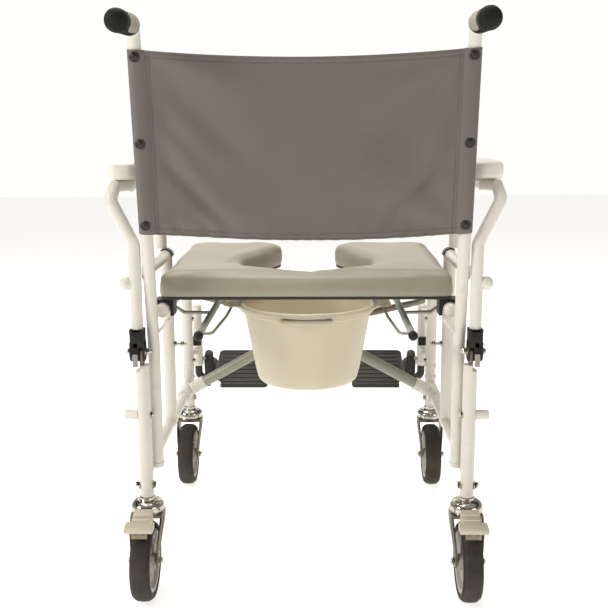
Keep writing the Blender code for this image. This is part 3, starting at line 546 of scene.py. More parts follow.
# ---------------------------------------------------------------- side frames and canes
def cane_point(z, side):
    """The centre of a push-handle cane at a height above its bend."""
    return at(CANE_X * side, CANE_FORWARD - (z - CANE_BEND_Z) * math.tan(BACK_LEAN), z)


def grip_point(forward, side):
    return at(CANE_X * side, forward, CANE_TOP_Z + (forward - CANE_TOP_FORWARD) * GRIP_SLOPE)


def side_frame(side):
    """The welded side frame: tubes, weld beads, collars, lugs and the bolts through it."""
    name = side_name(side)
    x = LEG_X * side
    outward = X_AXIS * side
    cane = [at(CANE_X * side, CANE_FORWARD, LOWER_RAIL_Z), cane_point(CANE_BEND_Z, side),
            cane_point(CANE_TOP_Z, side), grip_point(GRIP_END + 0.010, side)]
    upper = [cane_point(UPPER_RAIL_Z, side), at(x, 0.060, UPPER_RAIL_Z),
             at(x, MID_FORWARD + 0.016, UPPER_RAIL_Z)]
    run = (upper[1] - upper[0]).normalized()
    shapes = [tube(rounded_path(cane, 0.018, 12), CANE_R),
              tube([at(x, 0, LEG_BOTTOM), at(x, 0, LEG_TOP)], LEG_R, dome=0.003),
              tube([at(x, MID_FORWARD, LOWER_RAIL_Z), at(x, MID_FORWARD, UPPER_RAIL_Z)], LEG_R),
              tube([at(x, FRONT_FORWARD, LEG_BOTTOM), at(x, FRONT_FORWARD, FRONT_LEG_TOP)], LEG_R,
                   dome=0.003),
              tube([at(x, 0, LOWER_RAIL_Z), at(x, FRONT_FORWARD, LOWER_RAIL_Z)], CANE_R),
              tube(rounded_path(upper, 0.03), CANE_R, dome=0.003)]

    beads = [(at(x, forward, LEG_BOTTOM + 0.0014), Z_AXIS, LEG_R, 0.0012) for forward in (0, FRONT_FORWARD)]
    beads += [(at(x, forward + WELD_REACH * way, LOWER_RAIL_Z), Y_AXIS, CANE_R, 0.0014)
              for forward, way in ((0, 1), (MID_FORWARD, -1), (MID_FORWARD, 1), (FRONT_FORWARD, -1))]
    beads += [(at(x, MID_FORWARD + WELD_REACH * way, UPPER_RAIL_Z), Y_AXIS, CANE_R, 0.0013)
              for way in (-1, 1)]
    beads += [(at(CANE_X * side, CANE_FORWARD, LOWER_RAIL_Z + CANE_R * 0.8), Z_AXIS, CANE_R, 0.0013),
              (upper[0] + run * 0.0100, run, CANE_R, 0.0013)]
    shapes += [ring_bead(*bead) for bead in beads]
    collar = [(LEG_R, -0.004), (LEG_R + 0.0016, -0.0025), (LEG_R + 0.0016, 0.0025), (LEG_R, 0.004)]
    shapes += [turned(collar, at(x, FRONT_FORWARD, z), Z_AXIS, closed=True) for z in (0.226, 0.250)]

    # the peg on the outside of the rear leg, and the tongue that the arm pivots on
    peg = [(0, 0), (0.0078, 0), (0.0078, 0.029), (0.0066, 0.0308), (0, 0.031)]
    shapes += [turned(peg, at(x, 0, PEG_Z), outward, 28),
               ring_bead(at(x + 0.0102 * side, 0, PEG_Z), outward, 0.0078, 0.0011)]
    tongue = [(-0.0065, LEG_TOP - 0.008), (0.0065, LEG_TOP - 0.008)]
    tongue += arc((0, ARM_PIVOT.z), 0.0065, 0, 180, 16)
    lug = side_plate(tongue, TONGUE_LOW_X * side, (TONGUE_HIGH_X - TONGUE_LOW_X) * side, 0.0008)
    piece(f"{name}_pivot_lug", [lug], "steel")
    shoulder = [(min(px, TONGUE_HIGH_X), forward)
                for px, forward in arc((LEG_X, 0), LEG_R - 0.0002, 80, 280, 18)]
    shapes.append(slab(shoulder, LEG_TOP - 0.004, ARM_PIVOT.z - 0.0210 - LEG_TOP + 0.004, 0.0010, side))

    # the strap from cane to seat rail, the rail's feet, and the brackets that the footrest hooks on
    strap = [(0.2440, 0.4160), (0.2440, 0.4215), (0.2215, 0.4488), (0.2165, 0.4488), (0.2165, 0.4455)]
    shapes.append(prism([at(px * side, CANE_FORWARD - 0.009, z) for px, z in strap], Y_AXIS * -0.018, 0.0008))
    top = SEAT_RAIL_Z - LEG_R
    for forward in (MID_FORWARD, FRONT_FORWARD):
        shapes.append(block(at(0.2200 * side, forward - 0.008, top - 0.0045),
                            at(0.2570 * side, forward + 0.008, top)))
    for z in BRACKET_Z:
        shapes.append(block(at(x - 0.008, FRONT_FORWARD, z - 0.005),
                            at(x + 0.008, FOOT_FORWARD + 0.008, z + 0.005), 0.0015))
    piece(f"{name}_frame_tubes", shapes, "white", stands_for=f"{name}_side_frame")
    frame_bolts(side)


def frame_bolts(side):
    """Chrome nuts and bolt heads on the side frame."""
    outer = X_AXIS * side
    inner = -outer
    outer_face = (LEG_X + LEG_SKIN) * side
    inner_face = (LEG_X - LEG_SKIN) * side
    shapes = []
    for forward in (0, FRONT_FORWARD):
        shapes += hex_nut(at(outer_face, forward, STEM_BOLT_Z), outer, 0.0062, 0.0092)
        shapes += hex_nut(at(inner_face, forward, STEM_BOLT_Z), inner, 0.0060, 0.0052, domed=False)
    shapes += hex_nut(at(inner_face, 0, PEG_Z), inner, 0.0050, 0.0055)
    spacer = at(inner_face, MID_FORWARD, 0.3545)
    shapes.append(turned([(0, 0), (0.0030, 0), (0.0030, 0.0225), (0.0024, 0.0232), (0, 0.0232)],
                         spacer, inner, 18))
    shapes += hex_nut(spacer, inner, 0.0055, 0.0048, domed=False)
    shapes += hex_nut(spacer + inner * 0.0125, inner, 0.0048, 0.0062, domed=False)
    for z in BRACKET_Z:
        shapes += hex_nut(at(inner_face, FRONT_FORWARD, z), inner, 0.0045, 0.0045, domed=False)
    for forward in (MID_FORWARD, FRONT_FORWARD):
        shapes += hex_nut(at(0.2480 * side, forward, SEAT_RAIL_Z - LEG_R - 0.0045), -Z_AXIS, 0.0042, 0.0045)
    piece(f"{side_name(side)}_frame_bolts", shapes, "chrome")


def seat_rail(side):
    rail = f"{side_name(side)}_seat_rail"
    low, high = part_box(rail)
    centre = (low + high) / 2
    path = [Vector((centre.x, high.y - 0.004, centre.z)), Vector((centre.x, low.y, centre.z))]
    piece(f"{rail}_tube", [tube(path, LEG_R)], "white", stands_for=rail)
    plug = [(0, 0), (0.0060, 0.0008), (0.0098, 0.0035), (LEG_R, 0.0066), (LEG_R, 0.0085), (0, 0.0085)]
    piece(f"{rail}_plug", [turned(plug, Vector((centre.x, high.y, centre.z)), -Y_AXIS)], "white")


def grip(side):
    """A push grip: ribbed rubber sleeve, domed end cap, and a pale ribbed inlay on each flank."""
    name = side_name(side)
    start = grip_point(GRIP_START, side)
    end = grip_point(GRIP_END, side)
    axis = (end - start).normalized()
    length = (end - start).length
    profile = [(CANE_R * 0.99, 0.001), (0.0125, 0), (0.0144, 0.0012), (0.0148, 0.004)]
    first, last, ribs = 0.006, length - 0.028, 12
    pitch = (last - first) / ribs
    for rib in range(ribs):
        for radius, share in ((0.0146, 0), (0.0154, 0.3), (0.0154, 0.6), (0.0146, 0.9)):
            profile.append((radius, first + pitch * (rib + share)))
    profile += [(0.0149, last + 0.001), (GRIP_R * 0.995, last + 0.004), (GRIP_R, last + 0.008)]
    dome = 0.013
    profile += [(GRIP_R * math.cos(math.radians(a)) ** 0.8, length - dome + dome * math.sin(math.radians(a)))
                for a in range(0, 90, 9)]
    piece(f"{name}_grip_sleeve", [turned(profile + [(0, length)], start, axis, 44)], "grip",
          stands_for=f"{name}_push_grip")

    # pale inlays, each a curved ribbed patch with a rounded outline
    other = axis.cross(X_AXIS).normalized()
    rows, columns = 26, 14
    shapes = []
    for flank in (0, 180):
        bm = bmesh.new()
        grid = []
        for row in range(rows + 1):
            share = row / rows
            along = start + axis * (0.007 + share * (last - 0.009))
            spread = 62 * (1 - abs(2 * share - 1) ** 4) ** 0.5
            line = []
            for column in range(columns + 1):
                angle = math.radians(flank + spread * (2 * column / columns - 1))
                edge = min(row, rows - row, 2) / 2 * min(column, columns - column, 1)
                radius = 0.0147 + 0.0011 * edge + 0.0002 * math.sin(share * math.pi * 22) * edge
                outward = X_AXIS * math.cos(angle) + other * math.sin(angle)
                line.append(bm.verts.new(along + outward * radius))
            grid.append(line)
        sheet_of(bm, grid)
        bmesh.ops.remove_doubles(bm, verts=bm.verts, dist=1e-5)
        shapes.append(bm)
    piece(f"{name}_grip_inlay", shapes, "inlay")


# ---------------------------------------------------------------- back sling
SLING_ROWS = 56
WRAP_R = CANE_R + 0.0011
STITCH_X = CANE_X - 0.0160
HEM_X = CANE_X - 0.0225
PANEL_DEPTH = -0.0048
# soft folds on each half: start and end (x, height), half width, depth
FOLDS = (((0.225, 0.125), (0.105, 0.008), 0.010, 0.0062), ((0.222, 0.235), (0.080, 0.115), 0.017, 0.0050),
         ((0.222, 0.170), (0.140, 0.070), 0.012, -0.0042), ((0.165, 0.034), (0.145, 0.000), 0.005, 0.0034),
         ((0.205, 0.026), (0.180, 0.000), 0.005, 0.0028))


def sling_section():
    """The sling's developed section from hem to hem, as (x, depth) points; depth is towards the front."""
    left = [(HEM_X, -0.0022), (STITCH_X, -0.0026), (STITCH_X + 0.0035, -0.0006)]
    left += arc((CANE_X, 0), WRAP_R, 150, 0, 16) + arc((CANE_X, 0), WRAP_R, -12, -100, 10)
    left += [(CANE_X - 0.0070, -0.0098), (CANE_X - 0.0120, -0.0074)]
    columns = 64
    inner = [(STITCH_X * (1 - 2 * column / columns), PANEL_DEPTH) for column in range(columns + 1)]
    return left + inner + [(-x, depth) for x, depth in reversed(left)]


def crease(x, height, start, end, width, depth):
    """The push of one soft fold that runs from start to end across the sling."""
    run = Vector(end) - Vector(start)
    away = Vector((x, height)) - Vector(start)
    share = away.dot(run) / run.length_squared
    distance = abs(away.x * run.y - away.y * run.x) / run.length
    fade = math.exp(-((share - 0.5) / 0.42) ** 4)
    return depth * math.exp(-(distance / width) ** 2) * fade


def sling_point(x, depth, share):
    """A point of the sling. share runs from 0 at the bottom edge to 1 at the top edge."""
    centre = cane_point(SLING_LOW + SLING_RISE * share, 1)
    middle = 1 - min(1.0, abs(x) / CANE_X) ** 2
    slack = max(0.0, 1 - abs(x) / STITCH_X)
    # both free edges hang a little between the canes
    drop = 0.0115 * middle * share + 0.0108 * middle * (1 - share)
    # tension folds fan out from the corners
    push = 0.0
    for corner_x, corner_share in ((1, 0), (-1, 0), (1, 1), (-1, 1)):
        dx = (corner_x * CANE_X - x) * corner_x
        dz = abs(corner_share - share) * SLING_RISE
        reach = math.hypot(dx, dz)
        fan = math.sin(math.atan2(dz, dx) * 9.5 + corner_share * 1.3 + corner_x)
        push += fan * 0.0021 * min(1.0, reach / 0.05) * math.exp(-((reach - 0.12) / 0.09) ** 2)
    for hand in (1, -1):
        push += sum(crease(x * hand, share * SLING_RISE, *fold) for fold in FOLDS)
    push += 0.0011 * math.sin(x * 240 + 3 * math.sin(x * 31)) * math.exp(-share * 11)
    push += 0.0026 * noise.noise(Vector((x * 9, share * 3.2, 4.0)))
    bulge = 0.005 * middle * math.sin(math.pi * share) ** 0.7
    offset = depth + push * min(1.0, slack * 9) + bulge
    return Vector((x, centre.y, centre.z)) - BACK_NORMAL * offset - Z_AXIS * drop


def back_sling():
    """The upholstery: one sheet that wraps each cane, with its hems, stitching and dished screws."""
    section = sling_section()
    bm = bmesh.new()
    sheet_of(bm, [[bm.verts.new(sling_point(x, depth, row / SLING_ROWS)) for x, depth in section]
                  for row in range(SLING_ROWS + 1)])
    sling = piece("sling_panel", [bm], "woven", stands_for="back_sling", angle=80)
    skin = sling.modifiers.new("cloth_thickness", "SOLIDIFY")
    skin.thickness = 0.0011
    skin.offset = 0.0
    trim = [sling_hems(), sling_stitches(), sling_screws()]


def outer_face(x, share, lift=0.0):
    """A point on the sling's rear face, lifted off it a little."""
    reach = abs(x)
    bend_x = CANE_X - 0.002
    if reach <= STITCH_X:
        depth = PANEL_DEPTH
    elif reach <= bend_x:
        depth = PANEL_DEPTH - (reach - STITCH_X) / (bend_x - STITCH_X) * 0.0055
    else:
        depth = -math.sqrt(max(0.0, WRAP_R ** 2 - (reach - CANE_X) ** 2))
    return sling_point(x, depth - lift, share)


def sling_hems():
    """The turned hems along the top and bottom edges, as soft raised bands."""
    shapes = []
    for share in (0.006, 0.994):
        path = [outer_face(-CANE_X * 0.985 + CANE_X * 1.97 * step / 80, share, 0.0004) for step in range(81)]
        shapes.append(tube(path, 0.0011, 8, 0.0003))
    return piece("sling_hems", shapes, "woven")


def stitch(start, end, radius):
    """One thread stitch: a short bar that dips into the cloth at both ends."""
    return tube([start, (start + end) / 2, end], [radius * 0.6, radius, radius * 0.6], 6, 0.0002)


def sling_stitches():
    """Double rows of stitching inside each cane, and single rows along the hems."""
    lift, fill = 0.0008, 0.68
    down, across = 66, 118
    shapes = []
    for side in (1, -1):
        for x in (STITCH_X, STITCH_X - 0.0045):
            for step in range(down):
                ends = [outer_face(x * side, 0.02 + 0.96 * (step + part) / down, lift) for part in (0, fill)]
                shapes.append(stitch(*ends, 0.00042))
    for share in (0.035, 0.965):
        for step in range(across):
            ends = [outer_face((2 * (step + part) / across - 1) * (CANE_X - 0.004), share, lift)
                    for part in (0, fill)]
            shapes.append(stitch(*ends, 0.00038))
    return piece("sling_stitching", shapes, "thread")


def sling_screws():
    """Dished finishing washers with cross-slot screws, three down each cane. The cross slots are thin black
    bars on the heads: painted shade in place of recessed slots.
    """
    profile = [(0, 0), (0.0082, 0), (0.0084, 0.0008), (0.0072, 0.0022), (0.0056, 0.0027), (0.0050, 0.0022)]
    profile += oval((0, 0.0020), (0.0048, 0.0020), range(0, 90, 15)) + [(0, 0.0040)]
    heads = []
    slot_shade_bars = []
    for side in (1, -1):
        for z in (0.8470, 0.7240, 0.6020):
            face = outer_face((CANE_X - 0.001) * side, (z - SLING_LOW) / SLING_RISE)
            face.z = z
            heads.append(turned(profile, face - BACK_NORMAL * 0.0008, BACK_NORMAL, 32))
            top = face + BACK_NORMAL * 0.0030
            # thin black bars across each head: painted shade standing for the recessed cross slots
            for along in (X_AXIS, BACK_NORMAL.cross(X_AXIS)):
                slot_shade_bars.append(tube([top - along * 0.0026, top + along * 0.0026], 0.0004, 6, 0.0001))
    piece("sling_screw_slot_shade", slot_shade_bars, "black")
    return piece("sling_screws", heads, "screw")


# ---------------------------------------------------------------- soft cushions
def apply_modifiers(item):
    """Puts the evaluated mesh on an object, and drops its modifiers."""
    graph = bpy.context.evaluated_depsgraph_get()
    graph.update()
    mesh = bpy.data.meshes.new_from_object(item.evaluated_get(graph))
    material = item.material_slots[0].material
    item.modifiers.clear()
    item.data = mesh
    mesh.materials.clear()
    mesh.materials.append(material)


def smooth(item, name, times):
    """Adds a smoothing modifier."""
    modifier = item.modifiers.new(name, "SMOOTH")
    modifier.factor = 0.5
    modifier.iterations = times


def swell(item, voxel, limit, held_below, relax):
    """Makes an even mesh of a closed cushion, rounds its edges, and swells it by a short cloth
    simulation that holds each point within a limit of its start."""
    even = item.modifiers.new("even", "REMESH")
    even.mode = "VOXEL"
    even.voxel_size = voxel
    smooth(item, "round", relax)
    apply_modifiers(item)
    start = [vert.co.copy() for vert in item.data.vertices]
    held = item.vertex_groups.new(name="held")
    held.add([vert.index for vert in item.data.vertices if vert.co.z < held_below], 1.0, "ADD")
    cloth = item.modifiers.new("swell", "CLOTH")
    cloth.settings.use_pressure = True
    cloth.settings.uniform_pressure_force = 4.0
    cloth.settings.effector_weights.gravity = 0
    cloth.settings.vertex_group_mass = "held"
    cloth.collision_settings.use_collision = False
    cloth.point_cache.frame_start = 1
    cloth.point_cache.frame_end = 20
    for number in range(1, 21):
        bpy.context.scene.frame_set(number)
    apply_modifiers(item)
    item.vertex_groups.clear()
    bpy.context.scene.frame_set(1)
    for vert, origin in zip(item.data.vertices, start):
        move = vert.co - origin
        if move.length > limit:
            vert.co = origin + move.normalized() * limit
    smooth(item, "settle", 4)
    fine = item.modifiers.new("fine", "SUBSURF")
    fine.levels = 1
    fine.render_levels = 1
    apply_modifiers(item)
    item.data.shade_smooth()


HOLE_CENTRE = 0.200
HOLE_R = 0.112
LOBE_X = 0.107
LOBE_FORWARD = 0.405
LOBE_R = 0.058


def seat_outline(inset):
    """The seat's outline, drawn in by an inset all round, as (x, forward) points."""
    rear = REAR_Y - SEAT_BOX[1].y + inset
    front = REAR_Y - SEAT_BOX[0].y - inset
    half = arc((0.240 - inset - 0.012, rear + 0.012), 0.012, -90, 0, 8)
    half += arc((SEAT_BOX[1].x - inset - 0.034, front - 0.034), 0.034, 0, 90, 12)
    hole = HOLE_R + inset
    lobe = LOBE_R - inset
    reach = LOBE_FORWARD - HOLE_CENTRE
    heading = math.degrees(math.atan2(reach, LOBE_X))
    tangent = heading - math.degrees(math.acos((hole + lobe) / math.hypot(LOBE_X, reach)))
    half += arc((LOBE_X, LOBE_FORWARD), lobe, 90, 180 + tangent, 22)
    half += arc((0, HOLE_CENTRE), hole, tangent, -90, 26)
    return half + [(-x, forward) for x, forward in reversed(half[:-1])]


def seat():
    """The padded seat on its dark base board, and its clips."""
    board = 0.0025
    low = SEAT_BOX[0].z
    shape = slab(seat_outline(0.0025), low + board, SEAT_BOX[1].z - low - board - 0.002)
    cushion = piece("seat_cushion", [shape], "vinyl", "seat", "seat")
    swell(cushion, 0.005, 0.004, low + board + 0.003, 16)
    base = slab(seat_outline(0.006), low + 0.0005, board + 0.002, 0.001)
    piece("seat_board", [base], "plate", "seat")
    for side in (1, -1):
        for place in ("rear", "front"):
            dress(f"seat_clip_{place}_{side_name(side)}", "black", 0.0008)


def dress(name, finish, width):
    """Gives a frame node its finish, smooth shading and a softened edge."""
    node = frame["nodes"][name]
    node.material_slots[0].material = FINISHES[finish][0]
    node.modifiers.new("join", "WELD").merge_threshold = 0.00005
    bevel = node.modifiers.new("soft_edge", "BEVEL")
    bevel.width = width
    bevel.segments = 2
    bevel.limit_method = "ANGLE"
    bevel.angle_limit = math.radians(38)
    node.modifiers.new("even_light", "WEIGHTED_NORMAL").keep_sharp = True


# ---------------------------------------------------------------- arms
def arm(side):
    """A flip-back arm: bent tube, padded rest, hinge body and its nuts."""
    name = side_name(side)
    body = f"{name}_arm"
    pad_low, pad_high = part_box(f"{name}_arm_pad")
    pad_x = abs(pad_low.x + pad_high.x) / 2
    bar_z = pad_low.z - 0.0009 - CANE_R
    x = ARM_PIVOT.x
    foot_z = UPPER_RAIL_Z + 0.0137
    corners = [(x, 0, ARM_PIVOT.z + 0.0145), (x, 0, 0.572), (0.2985, 0.001, 0.640),
               (0.2925, 0.012, bar_z + 0.001), (pad_x, 0.050, bar_z), (pad_x, 0.238, bar_z),
               (ARM_POST_X, MID_FORWARD, 0.585), (ARM_POST_X, MID_FORWARD, foot_z)]
    points = [at(px * side, forward, z) for px, forward, z in corners]
    path = rounded_path(points[:4], 0.018) + rounded_path(points[3:], 0.020)[1:]
    ball = [(0, 0), (0.0070, 0), (0.0078, 0.0015), (0.0092, 0.0030)]
    ball += oval((0, 0.0108), (0.0107, 0.0107), range(-40, 90, 10)) + [(0, 0.0215)]
    stud = turned(ball, at((x + 0.004) * side, 0, 0.510), X_AXIS * side, 32)
    plug = rod(CANE_R, 0, 0.002, at(ARM_POST_X * side, MID_FORWARD, foot_z), Z_AXIS, 28)
    piece(f"{name}_arm_bent_tube", [tube(path, CANE_R), stud, plug], "white", body, f"{name}_arm_tube")

    soft = 0.0022
    outline = rounded_rectangle(pad_x - 0.025 + soft, pad_x + 0.025 - soft, soft, 0.274 - soft, 0.016, 8)
    shape = slab(outline, pad_low.z + 0.0018, pad_high.z - pad_low.z - 0.0036, side=side)
    pad = piece(f"{name}_arm_cushion", [shape], "foam", body, f"{name}_arm_pad")
    swell(pad, 0.0035, 0.003, pad_low.z + 0.004, 9)
    outline = rounded_rectangle(pad_x - 0.020, pad_x + 0.020, 0.006, 0.268, 0.012, 8)
    board = slab(outline, pad_low.z + 0.0002, 0.004, 0.0008, side)
    piece(f"{name}_arm_pad_board", [board], "white", body)
    head = [(0, 0), (0.0045, 0), (0.0040, 0.0016), (0.0018, 0.0024), (0, 0.0024)]
    screws = [turned(head, at(pad_x * side, forward, bar_z - CANE_R + 0.0003), -Z_AXIS, 20)
              for forward in (0.075, 0.215)]
    piece(f"{name}_arm_pad_screws", screws, "chrome", body)
    arm_lock(side, body)


def arm_lock(side, body):
    """The moulded hinge body: a collared socket above, two cheeks below, and acorn nuts."""
    name = side_name(side)
    low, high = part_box(f"{name}_arm_lock")
    deep = (high.y - low.y) / 2
    inner, outer = 0.2533, 0.2763
    pivot = ARM_PIVOT.z
    shapes = []
    for bottom, corner, chamfer in ((pivot + 0.0075, 0.0055, 0.0012), (high.z - 0.0045, 0.0030, 0.0009)):
        outline = rounded_rectangle(inner, outer, -deep, deep, corner)
        shapes.append(slab(outline, bottom, high.z - bottom, chamfer, side))
    cheek = [(-deep, high.z - 0.020), (-deep, pivot - 0.006)]
    cheek += arc((-deep + 0.0095, pivot - 0.006), 0.0095, 180, 270, 6)
    cheek += arc((deep - 0.0095, pivot - 0.006), 0.0095, 270, 360, 6) + [(deep, high.z - 0.020)]
    for near, far in ((inner, TONGUE_LOW_X - 0.0003), (TONGUE_HIGH_X + 0.0003, outer)):
        shapes.append(side_plate(cheek, near * side, (far - near) * side, 0.0011))
    for px in (inner + 0.006, outer - 0.006):
        shapes.append(block(at((px - 0.0008) * side, -deep - 0.0001, pivot + 0.012),
                            at((px + 0.0008) * side, -deep + 0.002, high.z - 0.008), 0.0003))
    piece(f"{name}_arm_hinge_body", shapes, "black", body, f"{name}_arm_lock")
    nuts = hex_nut(at(outer * side, 0, pivot), X_AXIS * side, 0.0058, 0.0070)
    nuts += hex_nut(at(inner * side, 0, pivot), X_AXIS * -side, 0.0058, 0.0112)
    piece(f"{name}_arm_hinge_nuts", nuts, "chrome", body)
    dress(f"{name}_arm_release_tab", "grey", 0.0006)
    dress(f"{name}_arm_saddle", "black", 0.0008)


# ---------------------------------------------------------------- cross brace
def brace(side, layer, place):
    """One crossing arm with its socket and sleeve on the lower rail."""
    offset = 0.0115 * layer
    low = at((LEG_X - 0.010) * side, BRACE_FORWARD + offset * 0.5, LOWER_RAIL_Z + 0.0065)
    middle = at(0, BRACE_FORWARD + offset, BRACE_CENTRE_Z)
    high = at(-(SEAT_RAIL_X - 0.0185) * side, BRACE_FORWARD + offset, SEAT_RAIL_Z - 0.0010)
    bolt_face = turned([(0.0040, 0), (0.0090, 0.0002), (0.0085, 0.0012), (0.0040, 0.0012)],
                       middle - Y_AXIS * layer * (BRACE_R - 0.0006), Y_AXIS * -layer, 28, closed=True)
    piece(f"brace_tube_{place}", [tube([low, middle, high], BRACE_R), bolt_face], "silver",
          stands_for=f"brace_arm_{place}")
    direction = (middle - low).normalized()
    collar = 0.0137
    sleeve = [(CANE_R, -0.033), (collar - 0.0008, -0.033), (collar, -0.0322), (collar, 0.0322),
              (collar - 0.0008, 0.033), (CANE_R, 0.033)]
    socket = [(0, 0.002), (0.0131, 0.002), (0.0131, 0.032), (0.0122, 0.0335), (0, 0.0335)]
    shapes = [turned(sleeve, at(LEG_X * side, BRACE_FORWARD, LOWER_RAIL_Z), -Y_AXIS, 36, closed=True),
              turned(socket, low, direction, 36),
              ring_bead(low + direction * 0.010, direction, 0.0131, 0.0012)]
    piece(f"brace_sleeve_{place}", shapes, "white")


def brace_pivot():
    low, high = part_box("brace_bolt")
    centre = (low + high) / 2
    reach = (high.y - low.y) / 2 - 0.006
    shapes = [rod(0.004, -reach, reach, centre, Y_AXIS, 20)]
    for hand in (1, -1):
        shapes += hex_nut(centre + Y_AXIS * reach * hand, Y_AXIS * hand, 0.0060, 0.0060, domed=hand > 0)
    piece("brace_pivot", shapes, "steel", stands_for="brace_bolt")


def stay(side):
    """A stay with pressed flat ends, from the brace's middle out to the seat rail."""
    name = side_name(side)
    depth = BRACE_FORWARD + side * 0.030
    inner = at(0.012 * side, depth, BRACE_CENTRE_Z + 0.008)
    outer = at(0.236 * side, depth, 0.405)
    path = [inner.lerp(outer, step / 12) for step in range(13)]
    radii = [0.0052, 0.0060] + [0.0068] * 9 + [0.0060, 0.0052]
    inset = (path[1] - path[0]) * 0.4
    rivets = [turned([(0, -0.0068), (0.0040, -0.0062), (0.0040, 0.0062), (0, 0.0068)], point, Y_AXIS, 18)
              for point in (path[0] + inset, path[-1] - inset)]
    piece(f"{name}_stay_bar", [tube(path, radii, 20)], "silver", stands_for=f"{name}_stay_link")
    piece(f"{name}_stay_rivets", rivets, "steel")


# ---------------------------------------------------------------- pan and its rails
def pan():
    """The tapered bucket with its rolled rim, side ears, rear lip and a drawn bottom."""
    low, rim_high = PAN_BOX[0].z, PAN_BOX[1].z
    rim, top, bottom, wall = 0.127, 0.1170, 0.091, 0.0025
    rim_low = rim_high - 0.0035
    outside = [(0, low + 0.0016), (bottom - 0.030, low + 0.0016), (bottom - 0.026, low)]
    outside += arc((bottom - 0.012, low + 0.0125), 0.0125, -90, -8, 8)
    outside += [(bottom + 0.0045, low + 0.026), (top - 0.0030, rim_low - 0.0135)]
    outside += arc((top + 0.0008, rim_low - 0.0100), 0.0016, -90, 0, 4)
    outside += [(top + 0.0030, rim_low - 0.0020), (top + 0.0040, rim_low), (rim - 0.0032, rim_low),
                (rim - 0.0030, rim_low - 0.0036), (rim - 0.0018, rim_low - 0.0044),
                (rim - 0.0005, rim_low - 0.0036)]
    outside += arc((rim - 0.0018, rim_low + 0.00175), 0.00175, -10, 90, 5)
    inside = [(top + 0.0015, rim_high), (top - wall + 0.0005, rim_high - 0.0015),
              (top - wall - 0.001, rim_low - 0.006), (top - wall - 0.0035, rim_low - 0.014),
              (bottom + 0.0045 - wall, low + 0.027)]
    inside += arc((bottom - 0.014, low + 0.0150), 0.0125, -8, -90, 8) + [(0, low + wall + 0.0012)]
    shapes = [turned(outside + inside, at(0, PAN_FORWARD, 0), Z_AXIS, 96)]
    ear = [(0.118, -0.046), (0.142, -0.038), (0.150, -0.025), (0.150, 0.025), (0.142, 0.038), (0.118, 0.046)]
    ear = [(x, PAN_FORWARD + y) for x, y in ear]
    for side in (1, -1):
        shapes.append(slab(ear, rim_low + 0.0002, rim_high - rim_low - 0.0004, 0.0010, side))
    lip = [(-0.044, -0.104), (-0.044, -0.1190), (-0.0415, -0.1235), (0.0415, -0.1235), (0.044, -0.1190),
           (0.044, -0.104)]
    lip = [(x, PAN_FORWARD + y) for x, y in lip]
    shapes.append(slab(lip, rim_low - 0.0165, 0.0095, 0.0022, segments=3))
    piece("pan_bucket", shapes, "pan", "pan", "pan", angle=50)


def pan_rail(side):
    """A pan slide: tube, guide wire, bent hanging rods, and black ball end caps."""
    rail = f"{side_name(side)}_pan_rail"
    slide = f"{side_name(side)}_pan_slide"
    box_low, box_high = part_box(rail)
    x = PAN_RAIL_X

    def level(*points):
        return [at(px * side, forward, PAN_RAIL_Z) for px, forward in points]

    shapes = [tube(level((x, -0.030), (x, 0.402)), 0.0058, 24)]
    wire = level((x, -0.012), (0.146, -0.010), (0.137, 0.120), (0.134, 0.385), (x, 0.393))
    shapes.append(tube(rounded_path(wire, 0.009, 6), 0.0025, 16, 0.0002))
    for forward in (0.153, 0.360):
        rod_path = [at(0.2300 * side, forward, box_high.z - 0.0032),
                    at(0.2140 * side, forward, PAN_RAIL_Z + 0.001), at(x * side, forward, PAN_RAIL_Z)]
        shapes.append(tube(rounded_path(rod_path, 0.010, 6), 0.0030, 16, 0.0002))
        shapes.append(ring_bead(at((x + 0.0065) * side, forward, PAN_RAIL_Z), X_AXIS, 0.0030, 0.0009, 20))
    piece(slide, shapes, "silver", stands_for=rail)
    cap = [(0, 0.0160), (0.0060, 0.0160), (0.0074, 0.0130)]
    cap += oval((0, 0.0075), (0.0076, -0.0073), range(0, 90, 12)) + [(0, 0.0002)]
    piece(f"{slide}_cap", [turned(cap, Vector((x * side, box_high.y, PAN_RAIL_Z)), -Y_AXIS, 32)], "black")
    end = [(0, 0), (0.0058, 0), (0.0062, 0.0008), (0.0062, 0.006), (0, 0.006)]
    piece(f"{slide}_end", [turned(end, Vector((x * side, box_low.y, PAN_RAIL_Z)), Y_AXIS, 28)], "black")


# ---------------------------------------------------------------- casters
def caster(side, place):
    """A caster: plated cup, pressed fork, hub, tyre and axle."""
    prefix = f"{place}_{side_name(side)}"
    forward = 0 if place == "rear" else FRONT_FORWARD
    top = at(LEG_X * side, forward, 0)
    cup = [(0, 0.1615), (0.0112, 0.1615), (0.0128, 0.1600), (0.0128, 0.1560), (0.0136, 0.1550)]
    cup += oval((0.0136, 0.1435), (0.0134, 0.0115), range(80, -1, -8))
    cup += [(0.0274, 0.1420), (0.0274, 0.1402), (0.0262, 0.1396), (0.0262, 0.1384), (0.0268, 0.1376),
            (0.0240, 0.1360), (0, 0.1360)]
    piece(f"{prefix}_stem_cup", [turned(cup, top, Z_AXIS, 48)], "chrome", stands_for=f"{prefix}_caster_cup")
    fork(side, prefix, top, forward)
    wheel(prefix, at(LEG_X * side, forward - TRAIL, WHEEL_R))
    if place == "rear":
        brake(side, top)


